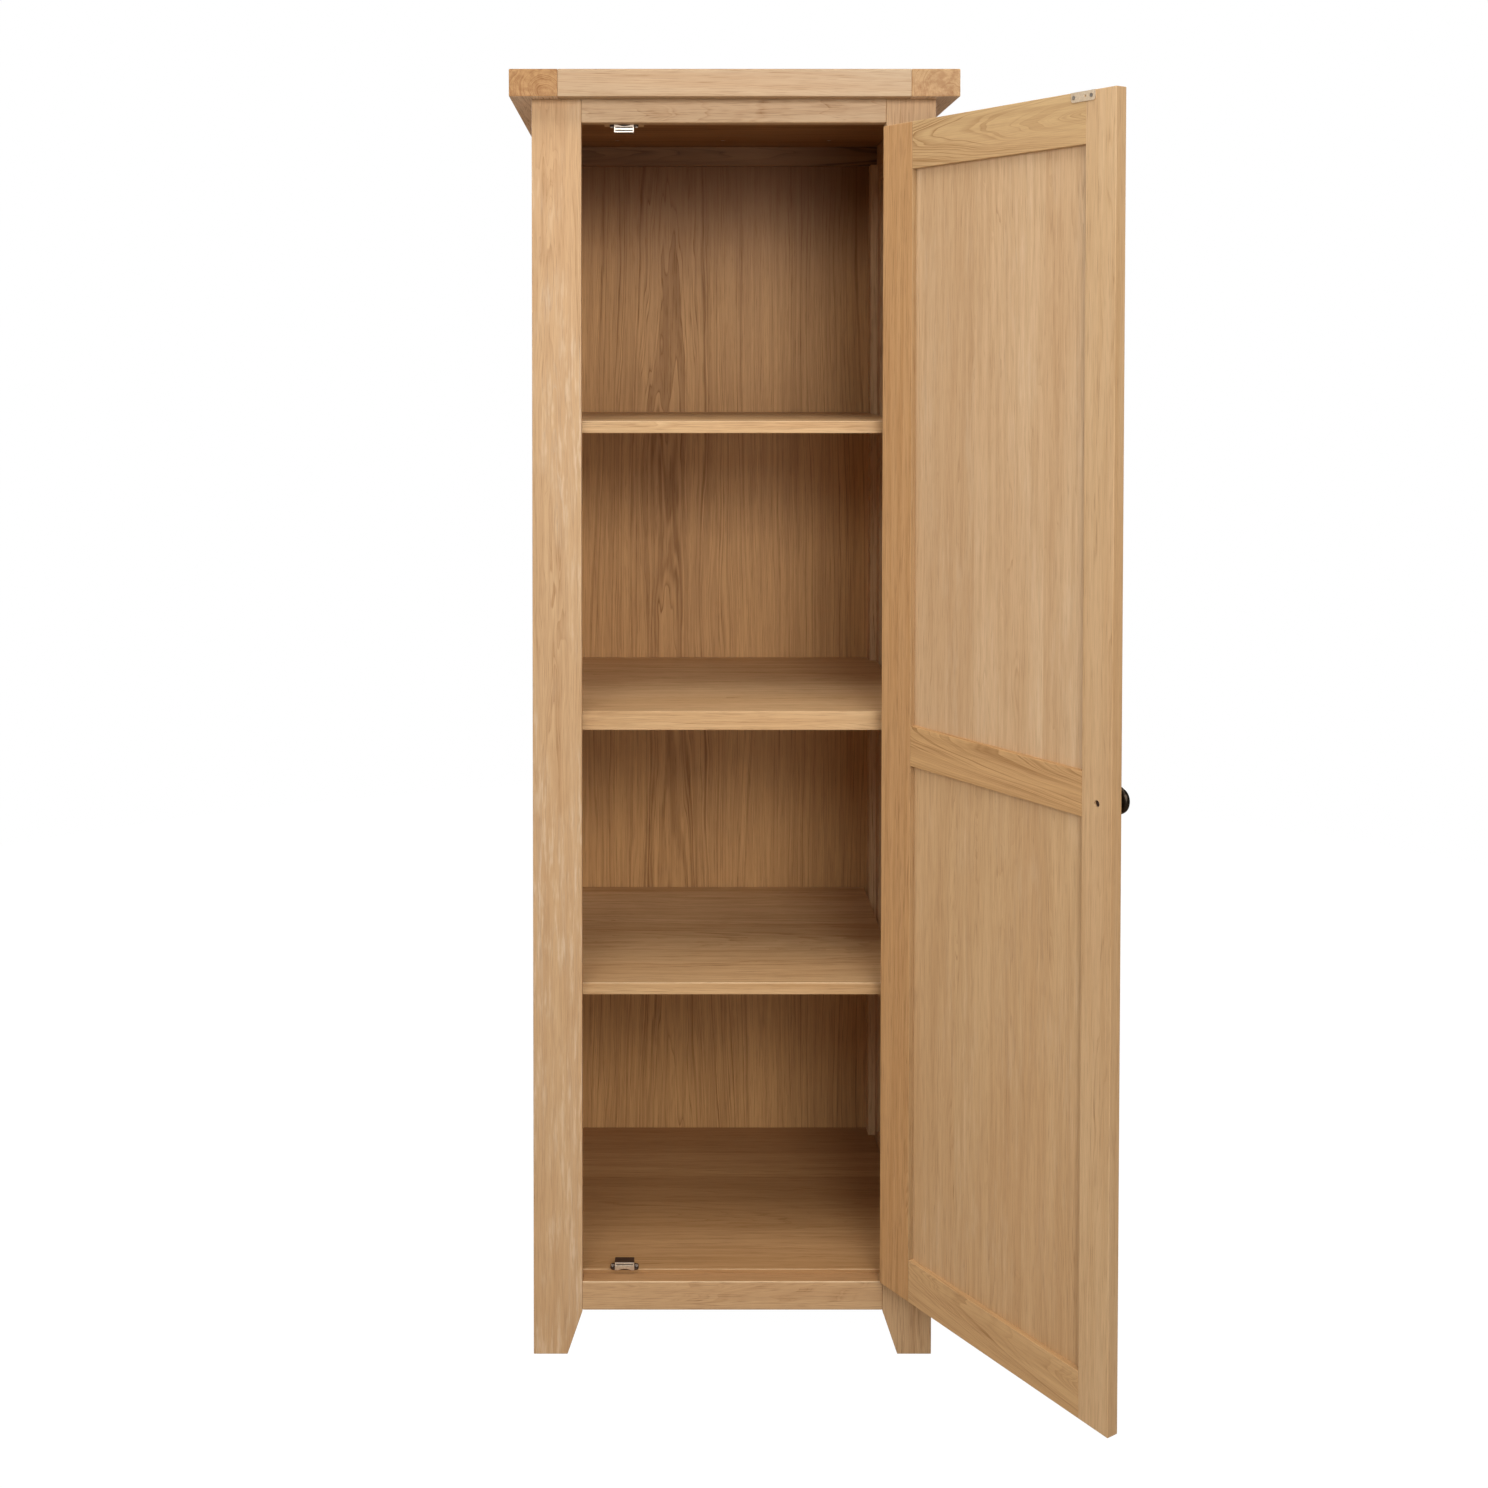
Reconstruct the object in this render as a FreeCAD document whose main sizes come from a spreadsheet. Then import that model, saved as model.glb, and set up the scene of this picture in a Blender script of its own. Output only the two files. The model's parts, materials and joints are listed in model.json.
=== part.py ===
"""Single-door oak pantry cabinet: face-framed carcass, thick overhanging top, framed door on butt hinges.

Frame: +Z up, -Y towards the person who opens the door, origin on the floor at the middle of the four
feet. The door stands open at rest. Lengths are millimetres and angles are degrees.
"""
import FreeCAD
import Part
import Sketcher
import os

doc = FreeCAD.newDocument("PantryCabinet")
sheet = doc.addObject("Spreadsheet::Sheet", "Sizes")
parts = []


class Length:
    """A length that knows its number and the spreadsheet formula that gives it."""

    def __init__(self, number, formula):
        self.number = number
        self.formula = formula

    def __add__(self, other):
        return joined(self, "+", other)

    def __radd__(self, other):
        return joined(other, "+", self)

    def __sub__(self, other):
        return joined(self, "-", other)

    def __rsub__(self, other):
        return joined(other, "-", self)

    def __mul__(self, other):
        return joined(self, "*", other)

    def __rmul__(self, other):
        return joined(other, "*", self)

    def __truediv__(self, other):
        return joined(self, "/", other)

    def __neg__(self):
        return joined(0, "-", self)


def as_length(value):
    if isinstance(value, Length):
        return value
    return Length(float(value), str(value))


def joined(left, sign, right):
    a = as_length(left)
    b = as_length(right)
    numbers = {
        "+": lambda: a.number + b.number,
        "-": lambda: a.number - b.number,
        "*": lambda: a.number * b.number,
        "/": lambda: a.number / b.number,
    }
    return Length(numbers[sign](), f"({a.formula} {sign} {b.formula})")


def size(name, value):
    """Writes one driving dimension into the spreadsheet and hands it back as a Length."""
    size.row += 1
    sheet.set(f"A{size.row}", name)
    sheet.set(f"B{size.row}", str(value))
    sheet.setAlias(f"B{size.row}", name)
    return Length(float(value), f"Sizes.{name}")


size.row = 0


def bind(thing, name, length):
    thing.setExpression(name, as_length(length).formula)


# ---------------------------------------------------------------- driving dimensions
# The whole cabinet
overall_width = size("overall_width", 650)
overall_height = size("overall_height", 1890)
body_depth = size("body_depth", 510)
# The top, a centre board with a block across each end
top_thickness = size("top_thickness", 40)
top_side_overhang = size("top_side_overhang", 31)
top_front_overhang = size("top_front_overhang", 25)
top_back_overhang = size("top_back_overhang", 5)
end_block_width = size("end_block_width", 70)
top_chamfer = size("top_chamfer", 3)
top_tongue = size("top_tongue", 14)
# The face frame and the legs
stile_width = size("stile_width", 72)
stile_thickness = size("stile_thickness", 24)
foot_width = size("foot_width", 50)
foot_taper = size("foot_taper", 64)
leg_clearance = size("leg_clearance", 66)
top_rail_height = size("top_rail_height", 34)
bottom_rail_height = size("bottom_rail_height", 43)
# The side frames, with one tall panel each
leg_side_width = size("leg_side_width", 70)
side_frame_thickness = size("side_frame_thickness", 24)
side_rail_height = size("side_rail_height", 70)
side_panel_thickness = size("side_panel_thickness", 8)
side_panel_setback = size("side_panel_setback", 8)
# Joints shared by every frame
tongue = size("tongue", 8)
tongue_thickness = size("tongue_thickness", 6)
groove_room = size("groove_room", 1)
# The back and the ceiling
back_thickness = size("back_thickness", 8)
back_recess = size("back_recess", 2)
back_rebate = size("back_rebate", 12)
back_rail_height = size("back_rail_height", 33)
back_rail_thickness = size("back_rail_thickness", 12)
ceiling_thickness = size("ceiling_thickness", 8)
# The floor and the shelves
floor_step = size("floor_step", 6)
board_thickness = size("board_thickness", 18)
fixed_shelf_thickness = size("fixed_shelf_thickness", 28)
shelf_setback = size("shelf_setback", 30)
shelf_back_gap = size("shelf_back_gap", 2)
shelf_end_gap = size("shelf_end_gap", 6)
side_clearance = size("side_clearance", 0.5)
lower_shelf_level = size("lower_shelf_level", 544)
fixed_shelf_level = size("fixed_shelf_level", 950)
upper_shelf_level = size("upper_shelf_level", 1381)
batten_thickness = size("batten_thickness", 12)
batten_width = size("batten_width", 30)
cleat_size = size("cleat_size", 18)
pin_hole_pitch = size("pin_hole_pitch", 50)
shelf_pin_radius = size("shelf_pin_radius", 2.5)
shelf_pin_depth = size("shelf_pin_depth", 9)
shelf_pin_reach = size("shelf_pin_reach", 12)
# The door
door_thickness = size("door_thickness", 18)
door_hinge_gap = size("door_hinge_gap", 2.2)
door_free_gap = size("door_free_gap", 2.4)
door_top_gap = size("door_top_gap", 7)
door_bottom_gap = size("door_bottom_gap", 4)
door_open_angle = size("door_open_angle", 123)
door_hinge_stile = size("door_hinge_stile", 63)
door_free_stile = size("door_free_stile", 50)
door_top_rail = size("door_top_rail", 67)
door_mid_rail = size("door_mid_rail", 58)
door_mid_level = size("door_mid_level", 890)
door_bottom_rail = size("door_bottom_rail", 61)
door_panel_thickness = size("door_panel_thickness", 6)
door_panel_setback = size("door_panel_setback", 4)
# The hinges
leaf_length = size("leaf_length", 60)
leaf_width = size("leaf_width", 14)
leaf_thickness = size("leaf_thickness", 1.4)
leaf_screw_pitch = size("leaf_screw_pitch", 19.2)
hinge_end_distance = size("hinge_end_distance", 150)
hinge_pin_inset = size("hinge_pin_inset", 3.6)
hinge_pin_depth = size("hinge_pin_depth", 2.8)
hinge_pin_radius = size("hinge_pin_radius", 1.3)
knuckle_radius = size("knuckle_radius", 2.6)
knuckle_room = size("knuckle_room", 0.4)
knuckle_gap = size("knuckle_gap", 0.3)
running_clearance = size("running_clearance", 0.05)
# Screws and small fittings
screw_radius = size("screw_radius", 1.4)
screw_head_radius = size("screw_head_radius", 2.5)
screw_length = size("screw_length", 14)
top_screw_length = size("top_screw_length", 29)
top_screw_head_radius = size("top_screw_head_radius", 4)
top_screw_setback = size("top_screw_setback", 105)
top_screw_inset = size("top_screw_inset", 76.5)
catch_centre = size("catch_centre", 160)
catch_width = size("catch_width", 29)
catch_depth = size("catch_depth", 17)
catch_height = size("catch_height", 11.6)
catch_ear = size("catch_ear", 6.5)
catch_ear_thickness = size("catch_ear_thickness", 2.4)
magnet_width = size("magnet_width", 20.3)
catch_gap = size("catch_gap", 0.3)
metal_sheet = size("metal_sheet", 1.2)
strike_length = size("strike_length", 41)
strike_height = size("strike_height", 13)
strike_inset = size("strike_inset", 54)
strike_corner = size("strike_corner", 3.9)
strike_screw_length = size("strike_screw_length", 11.2)
knob_inset = size("knob_inset", 24.5)
knob_level = size("knob_level", 912)
knob_radius = size("knob_radius", 18.5)
knob_reach = size("knob_reach", 28)
knob_screw_radius = size("knob_screw_radius", 2)
knob_screw_head_radius = size("knob_screw_head_radius", 4)
knob_screw_head_length = size("knob_screw_head_length", 3)
knob_hole_radius = size("knob_hole_radius", 4.4)
knob_hole_depth = size("knob_hole_depth", 6)
doc.recompute()

# ---------------------------------------------------------------- planes that several pieces share
body_half = overall_width / 2 - top_side_overhang
front = -(body_depth / 2)
back = body_depth / 2
carcass_top = overall_height - top_thickness
opening_half = body_half - stile_width
rail_top = leg_clearance + bottom_rail_height
opening_top = carcass_top - top_rail_height
inner_half = body_half - side_frame_thickness
frame_back = front + stile_thickness
back_face = back - back_recess - back_thickness
ceiling = carcass_top - ceiling_thickness
floor_level = rail_top + floor_step
batten_face = inner_half - batten_thickness
batten_top = ceiling - back_rail_height
shelf_front = front + shelf_setback
pin_x = opening_half + hinge_pin_inset
pin_y = front + hinge_pin_depth
door_right = opening_half - door_hinge_gap
door_left = door_free_gap - opening_half
door_bottom = rail_top + door_bottom_gap
door_top = opening_top - door_top_gap
door_back = front + door_thickness


# ---------------------------------------------------------------- ways of making a piece
def block(name, x, y, z):
    """A square-edged board between two limits on each axis."""
    made = doc.addObject("Part::Box", name)
    for prop, (low, high) in zip(("Length", "Width", "Height"), (x, y, z)):
        bind(made, prop, as_length(high) - low)
    for axis, (low, _) in zip("xyz", (x, y, z)):
        bind(made, f"Placement.Base.{axis}", low)
    return made


TURNS = {
    "+X": FreeCAD.Rotation(FreeCAD.Vector(0, 1, 0), 90),
    "-X": FreeCAD.Rotation(FreeCAD.Vector(0, 1, 0), -90),
    "+Y": FreeCAD.Rotation(FreeCAD.Vector(1, 0, 0), -90),
    "+Z": FreeCAD.Rotation(),
    "-Z": FreeCAD.Rotation(FreeCAD.Vector(1, 0, 0), 180),
}


def rod(name, start, direction, radius, length, far_radius=None):
    """A cylinder, or a cone where the far radius differs, that leaves start along direction."""
    kind = "Part::Cylinder" if far_radius is None else "Part::Cone"
    made = doc.addObject(kind, name)
    made.Placement = FreeCAD.Placement(FreeCAD.Vector(), TURNS[direction])
    bind(made, "Radius" if far_radius is None else "Radius1", radius)
    if far_radius is not None:
        bind(made, "Radius2", far_radius)
    bind(made, "Height", length)
    for axis, place in zip("xyz", start):
        bind(made, f"Placement.Base.{axis}", place)
    return made


def together(name, shapes):
    made = doc.addObject("Part::MultiFuse", name)
    made.Shapes = shapes
    return made


def without(name, base, tools):
    """The base with every tool cut away."""
    made = doc.addObject("Part::Cut", name)
    made.Base = base
    made.Tool = tools[0] if len(tools) == 1 else together(name + "_waste", tools)
    return made


def milled(name, plane, points, start, length):
    """A body padded from a closed outline of straight lines drawn on one of its origin planes."""
    body = doc.addObject("PartDesign::Body", name)
    sketch = body.newObject("Sketcher::SketchObject", name + "_outline")
    chosen = [f for f in body.Origin.OriginFeatures if f.Role == plane + "_Plane"][0]
    sketch.AttachmentSupport = [(chosen, "")]
    sketch.MapMode = "FlatFace"
    facing = -1 if plane == "XZ" else 1
    bind(sketch, "AttachmentOffset.Base.z", facing * as_length(start))
    draw(sketch, points)
    pad = body.newObject("PartDesign::Pad", name + "_pad")
    pad.Profile = sketch
    pad.Reversed = plane == "XZ"
    bind(pad, "Length", length)
    return body


def draw(sketch, points):
    """Straight lines from point to point, each point tied to the sheet by its two distances."""
    corners = [(as_length(u), as_length(v)) for u, v in points]
    for index, (u, v) in enumerate(corners):
        next_u, next_v = corners[(index + 1) % len(corners)]
        a = FreeCAD.Vector(u.number, v.number, 0)
        b = FreeCAD.Vector(next_u.number, next_v.number, 0)
        sketch.addGeometry(Part.LineSegment(a, b), False)
    for index in range(len(corners)):
        following = (index + 1) % len(corners)
        sketch.addConstraint(Sketcher.Constraint("Coincident", index, 2, following, 1))
    for index, (u, v) in enumerate(corners):
        for kind, place in (("DistanceX", u), ("DistanceY", v)):
            rule = Sketcher.Constraint(kind, -1, 1, index, 1, place.number)
            number = sketch.addConstraint(rule)
            sketch.setExpression(f"Constraints[{number}]", place.formula)


def either(side, near, far):
    """The limits of something between two distances from a middle plane, on the chosen side of it."""
    return (as_length(near), as_length(far)) if side > 0 else (-as_length(far), -as_length(near))


def keep(label, made):
    made.Label = label
    parts.append(made)
    return made


def hang(label, made):
    """A piece of the door, drawn with the door shut, swung open about the hinge pins."""
    made.Label = "shut_" + label
    swung = doc.addObject("Part::Compound", "open_" + label)
    swung.Links = [made]
    pin = FreeCAD.Vector(pin_x.number, pin_y.number, 0)
    turn = FreeCAD.Rotation(FreeCAD.Vector(0, 0, 1), door_open_angle.number)
    swung.Placement = FreeCAD.Placement(pin - turn.multVec(pin), turn)
    return keep(label, swung)


SIDES = (("left", -1), ("right", 1))
KNUCKLES = 5

# ---------------------------------------------------------------- hinges
# Three brass butt hinges. The knuckles are let into the front corner of the right stile, three on the
# cabinet leaf and two on the cranked door leaf, and one pin runs through all five.
hinge_levels = {
    "bottom": door_bottom + hinge_end_distance,
    "middle": (door_bottom + door_top) / 2,
    "top": door_top - hinge_end_distance,
}
knuckle_pitch = leaf_length / KNUCKLES
leaf_face_y = pin_y + knuckle_radius + knuckle_room
screw_y = (leaf_face_y + pin_y + leaf_width) / 2
frame_screws = []
door_screws = []
hinge_pins = []
stile_waste = []
door_stile_waste = []
frame_leaves = {}
door_leaves = {}


def hinge_screw(name, x, y, z, direction):
    """A countersunk screw whose flat head lies level with the leaf."""
    head = rod(name + "_head", (x, y, z), direction, screw_head_radius, leaf_thickness, screw_radius)
    shank = rod(name + "_shank", (x, y, z), direction, screw_radius, screw_length)
    return together(name, [head, shank])


for place, level in hinge_levels.items():
    name = "hinge_" + place
    low = level - leaf_length / 2
    high = level + leaf_length / 2
    pin_start = (pin_x, pin_y, low)
    hinge_pins.append(rod(name + "_pin", pin_start, "+Z", hinge_pin_radius, leaf_length))
    frame_plate_x = (opening_half, opening_half + leaf_thickness)
    frame_plate_y = (leaf_face_y, pin_y + leaf_width)
    frame_shapes = [block(name + "_frame_plate", frame_plate_x, frame_plate_y, (low, high))]
    door_plate_x = (door_right - leaf_thickness, door_right)
    door_plate_y = (pin_y - leaf_thickness / 2, pin_y - leaf_thickness / 2 + leaf_width)
    door_shapes = [block(name + "_door_plate", door_plate_x, door_plate_y, (low, high))]
    door_bores = []
    for index in range(KNUCKLES):
        start = low + knuckle_pitch * index
        own = name + f"_knuckle_{index + 1}"
        if index % 2 == 0:
            foot = block(own + "_root", frame_plate_x, (pin_y, leaf_face_y), (start, start + knuckle_pitch))
            barrel = rod(own, (pin_x, pin_y, start), "+Z", knuckle_radius, knuckle_pitch)
            frame_shapes += [foot, barrel]
            continue
        start = start + knuckle_gap
        height = knuckle_pitch - 2 * knuckle_gap
        web_y = (pin_y - leaf_thickness / 2, pin_y + leaf_thickness / 2)
        web = block(own + "_web", (door_right - leaf_thickness, pin_x), web_y, (start, start + height))
        barrel = rod(own, (pin_x, pin_y, start), "+Z", knuckle_radius, height)
        door_shapes += [web, barrel]
        bore_radius = hinge_pin_radius + running_clearance
        door_bores.append(rod(own + "_bore", (pin_x, pin_y, start), "+Z", bore_radius, height))
    set_frame = []
    set_door = []
    for index in range(3):
        z = level + leaf_screw_pitch * (index - 1)
        set_frame.append(hinge_screw(name + f"_fs{index}", opening_half, screw_y, z, "+X"))
        set_door.append(hinge_screw(name + f"_ds{index}", door_right, screw_y, z, "-X"))
    frame_screws += set_frame
    door_screws += set_door
    frame_leaves[place] = without(name + "_frame_leaf", together(name + "_frame_raw", frame_shapes),
                                  [hinge_pins[-1]] + set_frame)
    door_leaves[place] = without(name + "_door_leaf", together(name + "_door_raw", door_shapes),
                                 door_bores + set_door)
    room = knuckle_radius + knuckle_room
    mortise_x = (opening_half - leaf_thickness, opening_half + leaf_thickness)
    mortise_y = (front - leaf_thickness, pin_y + leaf_width)
    notch_x = (opening_half, pin_x + room + knuckle_room)
    notch_y = (front - leaf_thickness, pin_y)
    stile_waste.append(block(name + "_mortise", mortise_x, mortise_y, (low, high)))
    stile_waste.append(block(name + "_notch", notch_x, notch_y, (low, high)))
    stile_waste.append(rod(name + "_cove", (pin_x, pin_y, low), "+Z", room, leaf_length))
    stile_waste += set_frame
    door_mortise_x = (door_right - leaf_thickness, door_right + leaf_thickness)
    door_stile_waste.append(block(name + "_door_mortise", door_mortise_x, door_plate_y, (low, high)))
    door_stile_waste += set_door

for place in hinge_levels:
    keep("hinge_frame_leaf_" + place, frame_leaves[place])
    hang("hinge_door_leaf_" + place, door_leaves[place])
keep("hinge_pins", together("all_hinge_pins", hinge_pins))
keep("hinge_frame_screws", together("all_frame_screws", frame_screws))
hang("hinge_door_screws", together("all_door_screws", door_screws))

# ---------------------------------------------------------------- legs and face frame
# Each corner is an L of two boards that run to the floor. Their feet taper on the inner side only.


def leg(name, plane, outer, inner, foot_inner, start, thickness):
    """A full-height leg board, outer and inner being its edges and foot_inner where the foot ends."""
    outline = [
        (outer, 0),
        (foot_inner, 0),
        (inner, foot_taper),
        (inner, carcass_top),
        (outer, carcass_top),
    ]
    return milled(name, plane, outline, start, thickness)


tenon_y = (front + (stile_thickness - tongue_thickness) / 2, front + (stile_thickness + tongue_thickness) / 2)
front_rails = {
    "front_top_rail": (opening_top, carcass_top),
    "front_bottom_rail": (leg_clearance, rail_top),
}
for label, limits in front_rails.items():
    board = block(label + "_board", (-opening_half, opening_half), (front, frame_back), limits)
    ends = (-opening_half - tongue, opening_half + tongue)
    keep(label, together(label, [board, block(label + "_tenons", ends, tenon_y, limits)]))

for side_name, side in SIDES:
    foot_edge = (body_half - foot_width) * side
    stile = leg("front_leg_" + side_name, "XZ", body_half * side, opening_half * side, foot_edge,
                front, stile_thickness)
    waste = []
    for label, limits in front_rails.items():
        socket = either(side, opening_half - groove_room, opening_half + tongue)
        waste.append(block(f"{label}_socket_{side_name}", socket, tenon_y, limits))
    if side > 0:
        waste += stile_waste
    keep("front_stile_" + side_name, without("front_stile_" + side_name, stile, waste))

# ---------------------------------------------------------------- side frames
# A front and a rear leg board, two rails with tongues and one tall veneered panel in grooves.
side_front = frame_back
leg_edge = front + leg_side_width
rear_edge = back - leg_side_width
side_low_rail = (leg_clearance, leg_clearance + side_rail_height)
side_high_rail = (carcass_top - side_rail_height, carcass_top)
panel_reach = tongue - groove_room
for side_name, side in SIDES:
    near_x = body_half - side_panel_setback - side_panel_thickness
    panel_x = either(side, near_x, body_half - side_panel_setback)
    frame_x = either(side, inner_half, body_half)
    groove_z = (side_low_rail[1] - tongue, side_high_rail[0] + tongue)
    groove_y = (leg_edge - tongue, rear_edge + tongue)
    long_groove = block("side_groove_" + side_name, panel_x, groove_y, (leg_clearance, carcass_top))
    tall_groove = block("side_rail_groove_" + side_name, panel_x, groove_y, groove_z)
    front_leg = leg("side_leg_" + side_name, "YZ", side_front, leg_edge, front + foot_width,
                    frame_x[0], side_frame_thickness)
    rear_leg = leg("rear_leg_" + side_name, "YZ", back, rear_edge, back - foot_width,
                   frame_x[0], side_frame_thickness)
    rebate_x = either(side, inner_half - groove_room, inner_half + back_rebate)
    rebate_z = (leg_clearance, carcass_top + groove_room)
    rebate = block("back_rebate_" + side_name, rebate_x, (back_face, back + groove_room), rebate_z)
    keep("side_front_stile_" + side_name, without("side_front_" + side_name, front_leg, [long_groove]))
    keep("side_rear_stile_" + side_name, without("side_rear_" + side_name, rear_leg, [long_groove, rebate]))
    for label, limits in (("side_bottom_rail_", side_low_rail), ("side_top_rail_", side_high_rail)):
        board = block(label + side_name + "_board", frame_x, (leg_edge, rear_edge), limits)
        tenons = block(label + side_name + "_tenons", panel_x, groove_y, limits)
        edge = without(label + side_name + "_edge", together(label + side_name + "_raw", [board, tenons]),
                       [tall_groove])
        keep(label + side_name, edge)
    panel_y = (leg_edge - panel_reach, rear_edge + panel_reach)
    panel_z = (side_low_rail[1] - panel_reach, side_high_rail[0] + panel_reach)
    keep("side_panel_" + side_name, block("side_panel_" + side_name, panel_x, panel_y, panel_z))

# ---------------------------------------------------------------- back and ceiling
back_x = inner_half + back_rebate - side_clearance
keep("back_panel", block("back_panel", (-back_x, back_x), (back_face, back - back_recess),
                         (leg_clearance, carcass_top)))
keep("back_top_rail", block("back_top_rail", (-inner_half, inner_half),
                            (back_face - back_rail_thickness, back_face), (batten_top, ceiling)))

# ---------------------------------------------------------------- top
# A centre board with a tongue at each end, held in the grooved end blocks, screwed from below.
top_front = front - top_front_overhang
top_back = back + top_back_overhang
board_half = overall_width / 2 - end_block_width
top_middle = carcass_top + top_thickness / 2
tongue_z = (top_middle - tongue_thickness, top_middle + tongue_thickness)
tongue_y = (top_front + end_block_width, top_back - end_block_width)
top_outline = [
    (top_front, carcass_top),
    (top_back, carcass_top),
    (top_back, overall_height),
    (top_front + top_chamfer, overall_height),
    (top_front, overall_height - top_chamfer),
]
top_screws = []
for row_index, y in enumerate((front + top_screw_setback, back - top_screw_setback)):
    for column_index in (-1, 0, 1):
        own = f"top_screw_{row_index}{column_index + 1}"
        x = (board_half - top_screw_inset) * column_index
        head = rod(own + "_head", (x, y, ceiling), "+Z", top_screw_head_radius, metal_sheet, screw_radius)
        shank = rod(own + "_shank", (x, y, ceiling), "+Z", screw_radius, top_screw_length)
        top_screws.append(together(own, [head, shank]))
keep("top_screws", together("all_top_screws", top_screws))
centre = milled("top_centre", "YZ", top_outline, -board_half, 2 * board_half)
tongues = block("top_tongues", (-board_half - top_tongue, board_half + top_tongue), tongue_y, tongue_z)
keep("top_board", without("top_board", together("top_board_raw", [centre, tongues]), top_screws))
for side_name, side in SIDES:
    start = either(side, board_half, overall_width / 2)[0]
    raw = milled("top_end_" + side_name, "YZ", top_outline, start, end_block_width)
    groove = block("top_groove_" + side_name, either(side, board_half - groove_room, board_half + top_tongue),
                   tongue_y, tongue_z)
    keep("top_end_block_" + side_name, without("top_end_block_" + side_name, raw, [groove]))
ceiling_x = inner_half - side_clearance
ceiling_y = (frame_back, back_face)
ceiling_board = block("ceiling_board", (-ceiling_x, ceiling_x), ceiling_y, (ceiling, carcass_top))
keep("ceiling_panel", without("ceiling_panel", ceiling_board, top_screws))

# ---------------------------------------------------------------- floor, shelves and what carries them
floor_low = floor_level - board_thickness
board_x = inner_half - side_clearance
battens_y = {
    "front": (shelf_front, shelf_front + batten_width),
    "rear": (back_face - batten_width, back_face),
}
cleat_y = (shelf_front + batten_width + shelf_back_gap, back_face - batten_width - shelf_back_gap)
shelf_x = batten_face - shelf_end_gap
shelf_levels = {"lower_shelf": lower_shelf_level, "upper_shelf": upper_shelf_level}
fixed_low = fixed_shelf_level - fixed_shelf_thickness
shelf_pins = []
notches = []
for side_name, side in SIDES:
    batten_x = either(side, batten_face, inner_half)
    notch_x = either(side, batten_face - side_clearance, inner_half + side_clearance)
    for row_name, (near_y, far_y) in battens_y.items():
        label = f"shelf_batten_{row_name}_{side_name}"
        raw = block(label + "_raw", batten_x, (near_y, far_y), (floor_level, batten_top))
        notch_y = (near_y - side_clearance, far_y + side_clearance)
        notches.append(block(label + "_notch", notch_x, notch_y, (fixed_low, fixed_shelf_level)))
        hole_y = (near_y + far_y) / 2
        inward = "-X" if side > 0 else "+X"
        outward = "+X" if side > 0 else "-X"
        holes = []
        for shelf, level in shelf_levels.items():
            pin_z = level - board_thickness - shelf_pin_radius
            for step in (-2, -1, 0, 1, 2):
                spot = (batten_face * side, hole_y, pin_z + pin_hole_pitch * step)
                holes.append(rod(f"{label}_{shelf}_hole{step + 2}", spot, outward, shelf_pin_radius,
                                 shelf_pin_depth))
            spot = ((batten_face + shelf_pin_depth) * side, hole_y, pin_z)
            shelf_pins.append(rod(f"{label}_{shelf}_pin", spot, inward, shelf_pin_radius,
                                  shelf_pin_depth + shelf_pin_reach))
        keep(label, without(label, raw, holes))
    cleat_x = either(side, inner_half - cleat_size, inner_half)
    keep("fixed_shelf_cleat_" + side_name,
         block("fixed_cleat_" + side_name, cleat_x, cleat_y, (fixed_low - cleat_size, fixed_low)))
    keep("floor_cleat_" + side_name,
         block("floor_cleat_" + side_name, cleat_x, cleat_y, (floor_low - cleat_size, floor_low)))
keep("shelf_pins", together("all_shelf_pins", shelf_pins))
fixed_z = (fixed_low, fixed_shelf_level)
fixed_board = block("fixed_board", (-board_x, board_x), (shelf_front, back_face), fixed_z)
keep("fixed_shelf", without("fixed_shelf", fixed_board, notches))
for label, level in shelf_levels.items():
    keep(label, block(label, (-shelf_x, shelf_x), (shelf_front, back_face - shelf_back_gap),
                      (level - board_thickness, level)))

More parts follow.
